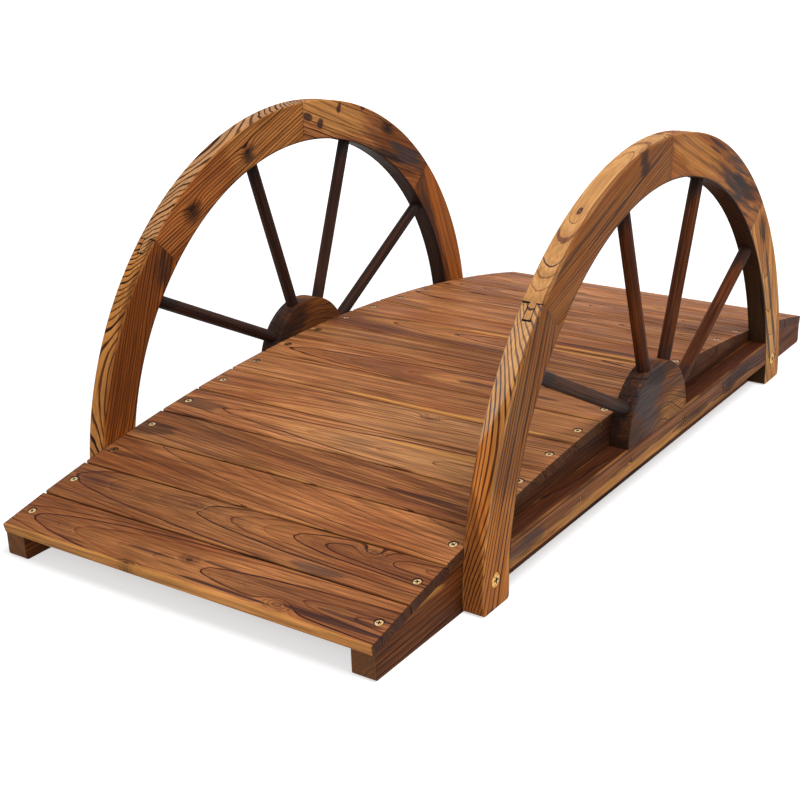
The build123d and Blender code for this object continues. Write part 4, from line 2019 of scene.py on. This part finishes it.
def level_looks(side: int) -> dict[str, tuple[CharredWood, Figure]]:
    """Gives the finish and figure of one side's rail, hub and stringer.

    Args:
        side: The side, -1 on the right and 1 on the left.

    Returns:
        The finish and figure of each, by name.
    """
    outer = 0.015 * side
    rail = Figure(
        pith=(-0.030 * side, -0.055),
        slope=(0.03, 0.04),
        spacing=0.0036,
        wobble=0.012,
        seed=90.0 + side,
        knots=(Knot((0.262, outer, -0.002), 0.011, 0.012, THROUGH_EDGE, 0.7, 0.3),),
        patches=(
            Patch(Mark.GOLD, (-0.10, outer, -0.010), (0.40, 0.012, 0.009), 0.4),
            Patch(Mark.SLATE, (-0.375, outer, 0.0), (0.05, 0.012, 0.014), 0.35),
            Patch(Mark.SOOT_AND_SHADE, (0.12, outer, -0.008), (0.07, 0.012, 0.008), 0.5),
            Patch(Mark.SOOT_AND_SHADE, (0.30, outer, 0.004), (0.08, 0.012, 0.010), 0.4),
            # Painted shade: a dark mahogany band over the rail's top face.
            Patch(Mark.MAHOGANY, (0.0, 0.0, 0.019), (1.2, 0.12, 0.006), 0.75, 0.2, Layer.GROUND, 0.7),
        ),
    )
    hub = Figure(
        pith=(0.02 * side, -0.080),
        slope=(0.0, 0.04),
        spacing=0.0070,
        wobble=0.014,
        bold=0.24,
        seed=97.0 + side,
        knots=(Knot((0.004, outer, 0.02), 0.070, -0.045, (1.0, 0.0, 1.0), 0.0, 0.0),),
        patches=(
            Patch(Mark.CHAR_AND_SHADE, (-0.110, 0.0, 0.03), (0.080, 0.08, 0.12), 0.4, 1.0, Layer.GROUND),
            Patch(Mark.SLATE, (-0.036, outer, 0.070), (0.068, 0.012, 0.042), 0.62, 1.0, Layer.GROUND, 0.5),
            Patch(Mark.SLATE, (-0.026, outer, 0.024), (0.036, 0.012, 0.040), 0.4, 1.6, edge=0.1),
            Patch(Mark.SOOT_AND_SHADE, (0.02, outer, 0.082), (0.08, 0.012, 0.012), 0.4, 1.6, edge=0.4),
            Patch(Mark.GOLD, (0.050, outer, 0.014), (0.050, 0.012, 0.030), 0.2, 1.0, Layer.GROUND),
            Patch(Mark.SOOT_AND_SHADE, (-0.050, -0.3 * outer, 0.06), (0.07, 0.018, 0.07), 0.5),
        ),
    )
    stringer = Figure(
        pith=(0.06 * side, -0.09),
        slope=(0.02, 0.02),
        spacing=0.0060,
        wobble=0.014,
        seed=104.0 + side,
        patches=(
            Patch(Mark.GOLD, (-0.56, 0.016 * side, 0.005), (0.05, 0.012, 0.010), 0.45),
            Patch(Mark.SOOT_AND_SHADE, (0.0, 0.016 * side, 0.02), (0.5, 0.012, 0.04), 0.3),
        ),
    )
    return {"rail": (RAIL_WOOD, rail), "hub": (SHADED_HUB_WOOD, hub), "stringer": (SHADED_STRINGER_WOOD, stringer)}


BRIGHT_ZINC = YellowZinc()
ORANGE_ZINC = YellowZinc("orange_zinc", tint(228, 184, 104), tint(156, 110, 50), 0.34)
# Painted shade: a darker copy of the plating for the rail's screws, which sit in shadow.
SHADED_ZINC = YellowZinc("shaded_zinc", tint(176, 140, 84), tint(96, 72, 44), 0.42)
# Painted shade: a dark matt colour in the cross recesses of the screws and bolts.
RECESS_SHADE = YellowZinc("recess_shade", tint(40, 26, 18), tint(16, 11, 9), 0.7, metallic=0.0)
WOOD_SCREW = Fastener(
    head_radius=0.0052,
    head_edge=0.0004,
    cone_height=0.0030,
    shank_radius=0.0023,
    length=0.0135,
    crown=0.0003,
    recess=CrossRecess(arm=0.0037, width=0.0021, depth=0.0018, bottom_share=0.7),
)
LEG_BOLT = Fastener(
    head_radius=0.0100,
    head_edge=0.0022,
    cone_height=0.0006,
    shank_radius=0.0040,
    length=0.0530,
    crown=0.0011,
    recess=CrossRecess(arm=0.0054, width=0.0028, depth=0.0028, bottom_share=0.7),
    sides=40,
)


@dataclass(frozen=True)
class SoftLamp:
    """A large soft lamp that points at the bridge."""

    name: str
    place: Place
    size: float
    power: float

    def add(self, target: Vector) -> None:
        """Adds the lamp.

        Args:
            target: The point that it is turned to.
        """
        data = bpy.data.lights.new(self.name, "AREA")
        data.shape = "SQUARE"
        data.size = self.size
        data.energy = self.power
        lamp = bpy.data.objects.new(self.name, data)
        lamp.location = self.place
        lamp.rotation_euler = (target - Vector(self.place)).to_track_quat("-Z", "Y").to_euler()
        bpy.context.scene.collection.objects.link(lamp)


@dataclass(frozen=True)
class Studio:
    """A pale floor, soft lamps, a plain world and the camera."""

    target: Place = (0.0, 0.0, 0.2)
    floor_size: float = 24.0
    floor_drop: float = 0.0004
    floor_colour: Colour = (0.66, 0.66, 0.66)
    floor_glow: float = 0.55
    floor_fade: Steps = (1.0, 2.6)
    sky_level: float = 0.42
    camera_place: Place = (-1.7577, -1.1102, 0.8668)
    camera_right: Place = (0.56349, -0.82556, -0.03058)
    camera_down: Place = (-0.31657, -0.18159, -0.93103)
    focal_length: float = 64.797
    lamps: tuple[SoftLamp, ...] = (
        SoftLamp("key", (-0.3, -2.8, 5.6), 3.2, 285.0),
        SoftLamp("fill", (-4.2, -1.6, 2.4), 2.6, 60.0),
    )

    def seen_directly(self, sheet: NodeSheet) -> Socket:
        """Adds the mask of rays that come from the camera or from metal or glass.

        Args:
            sheet: The node tree.

        Returns:
            The mask's socket.
        """
        path = sheet.add("ShaderNodeLightPath").outputs
        mask = sheet.larger(path["Is Camera Ray"], path["Is Glossy Ray"])
        return sheet.larger(mask, path["Is Transmission Ray"])

    def build(self) -> None:
        """Builds the world, the floor, the lamps and the camera."""
        self.add_world()
        self.add_floor()
        for lamp in self.lamps:
            lamp.add(Vector(self.target))
            LOG.info("%s: soft lamp", lamp.name)
        self.add_camera()
        bpy.context.scene.view_settings.view_transform = "Standard"

    def add_world(self) -> None:
        """Adds the plain world, which is white where it is seen."""
        world = bpy.data.worlds.new("studio_world")
        world.use_nodes = True
        world.node_tree.nodes.clear()
        sheet = NodeSheet(world.node_tree)
        sky = sheet.add("ShaderNodeBackground")
        seen = self.seen_directly(sheet)
        sheet.feed(sky.inputs["Strength"], sheet.scaled(seen, 1.0 - self.sky_level, self.sky_level))
        sheet.feed(sheet.add("ShaderNodeOutputWorld").inputs["Surface"], sky.outputs[0])
        sheet.feed(sky.inputs["Color"], (1.0, 1.0, 1.0))
        bpy.context.scene.world = world

    def add_floor(self) -> None:
        """Adds the pale floor, which keeps the bridge's shadow."""
        start_fresh()
        bpy.ops.mesh.primitive_grid_add(
            x_subdivisions=2, y_subdivisions=2, size=self.floor_size, location=(0.0, 0.0, -self.floor_drop)
        )
        floor = bpy.context.object
        floor.name = "studio_floor"
        material, sheet = blank_material("studio_floor")
        matt = sheet.add("ShaderNodeBsdfDiffuse")
        sheet.feed(matt.inputs["Color"], self.floor_colour)
        glow = sheet.add("ShaderNodeEmission")
        reach = sheet.vector("LENGTH", sheet.add("ShaderNodeTexCoord").outputs["Object"])
        strength = sheet.ramp(reach, *self.floor_fade, self.floor_glow, 1.0)
        sheet.feed(glow.inputs["Strength"], sheet.times(self.seen_directly(sheet), strength))
        both = sheet.add("ShaderNodeAddShader")
        sheet.feed(both.inputs[0], matt.outputs[0])
        sheet.feed(both.inputs[1], glow.outputs[0])
        sheet.show(both.outputs[0])
        floor.data.materials.append(material)
        LOG.info("studio_floor: stage")

    def add_camera(self) -> None:
        """Adds the camera at the photograph's place, worked out for an 800 by 800 frame."""
        data = bpy.data.cameras.new("camera")
        data.sensor_width = 36.0
        data.lens = self.focal_length
        data.clip_end = 100.0
        camera = bpy.data.objects.new("camera", data)
        right, up = Vector(self.camera_right), -Vector(self.camera_down)
        turn = Matrix((right, up, right.cross(up))).transposed()
        camera.matrix_world = Matrix.Translation(self.camera_place) @ turn.to_4x4()
        bpy.context.scene.collection.objects.link(camera)
        bpy.context.scene.camera = camera
        LOG.info("camera: set")


def main() -> None:
    """Builds the looks in order, and reports each piece."""
    logging.basicConfig(level=logging.INFO, format="%(name)s %(message)s")
    for left_over in list(bpy.data.objects):
        bpy.data.objects.remove(left_over)
    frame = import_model()
    nodes = frame["nodes"]
    effects = Effects()
    deck = Deck()
    deck.dress(nodes, effects)
    sides = (HalfWheel(-1), HalfWheel(1))
    for side in sides:
        side.dress(nodes, effects)

    recess_shade_material = RECESS_SHADE.make()
    patterns = (WOOD_SCREW.model(), WOOD_SCREW.model(), LEG_BOLT.model())
    for pattern, zinc in zip(patterns, (BRIGHT_ZINC, SHADED_ZINC, ORANGE_ZINC)):
        pattern.data.materials.append(zinc.make())
        pattern.data.materials.append(recess_shade_material)
    deck.add_screws(WOOD_SCREW, patterns[0])
    for side in sides:
        side.add_fasteners(WOOD_SCREW, patterns[1], LEG_BOLT, patterns[2])
    for pattern in patterns:
        bpy.data.objects.remove(pattern)

    Studio().build()


if __name__ == "__main__":
    main()
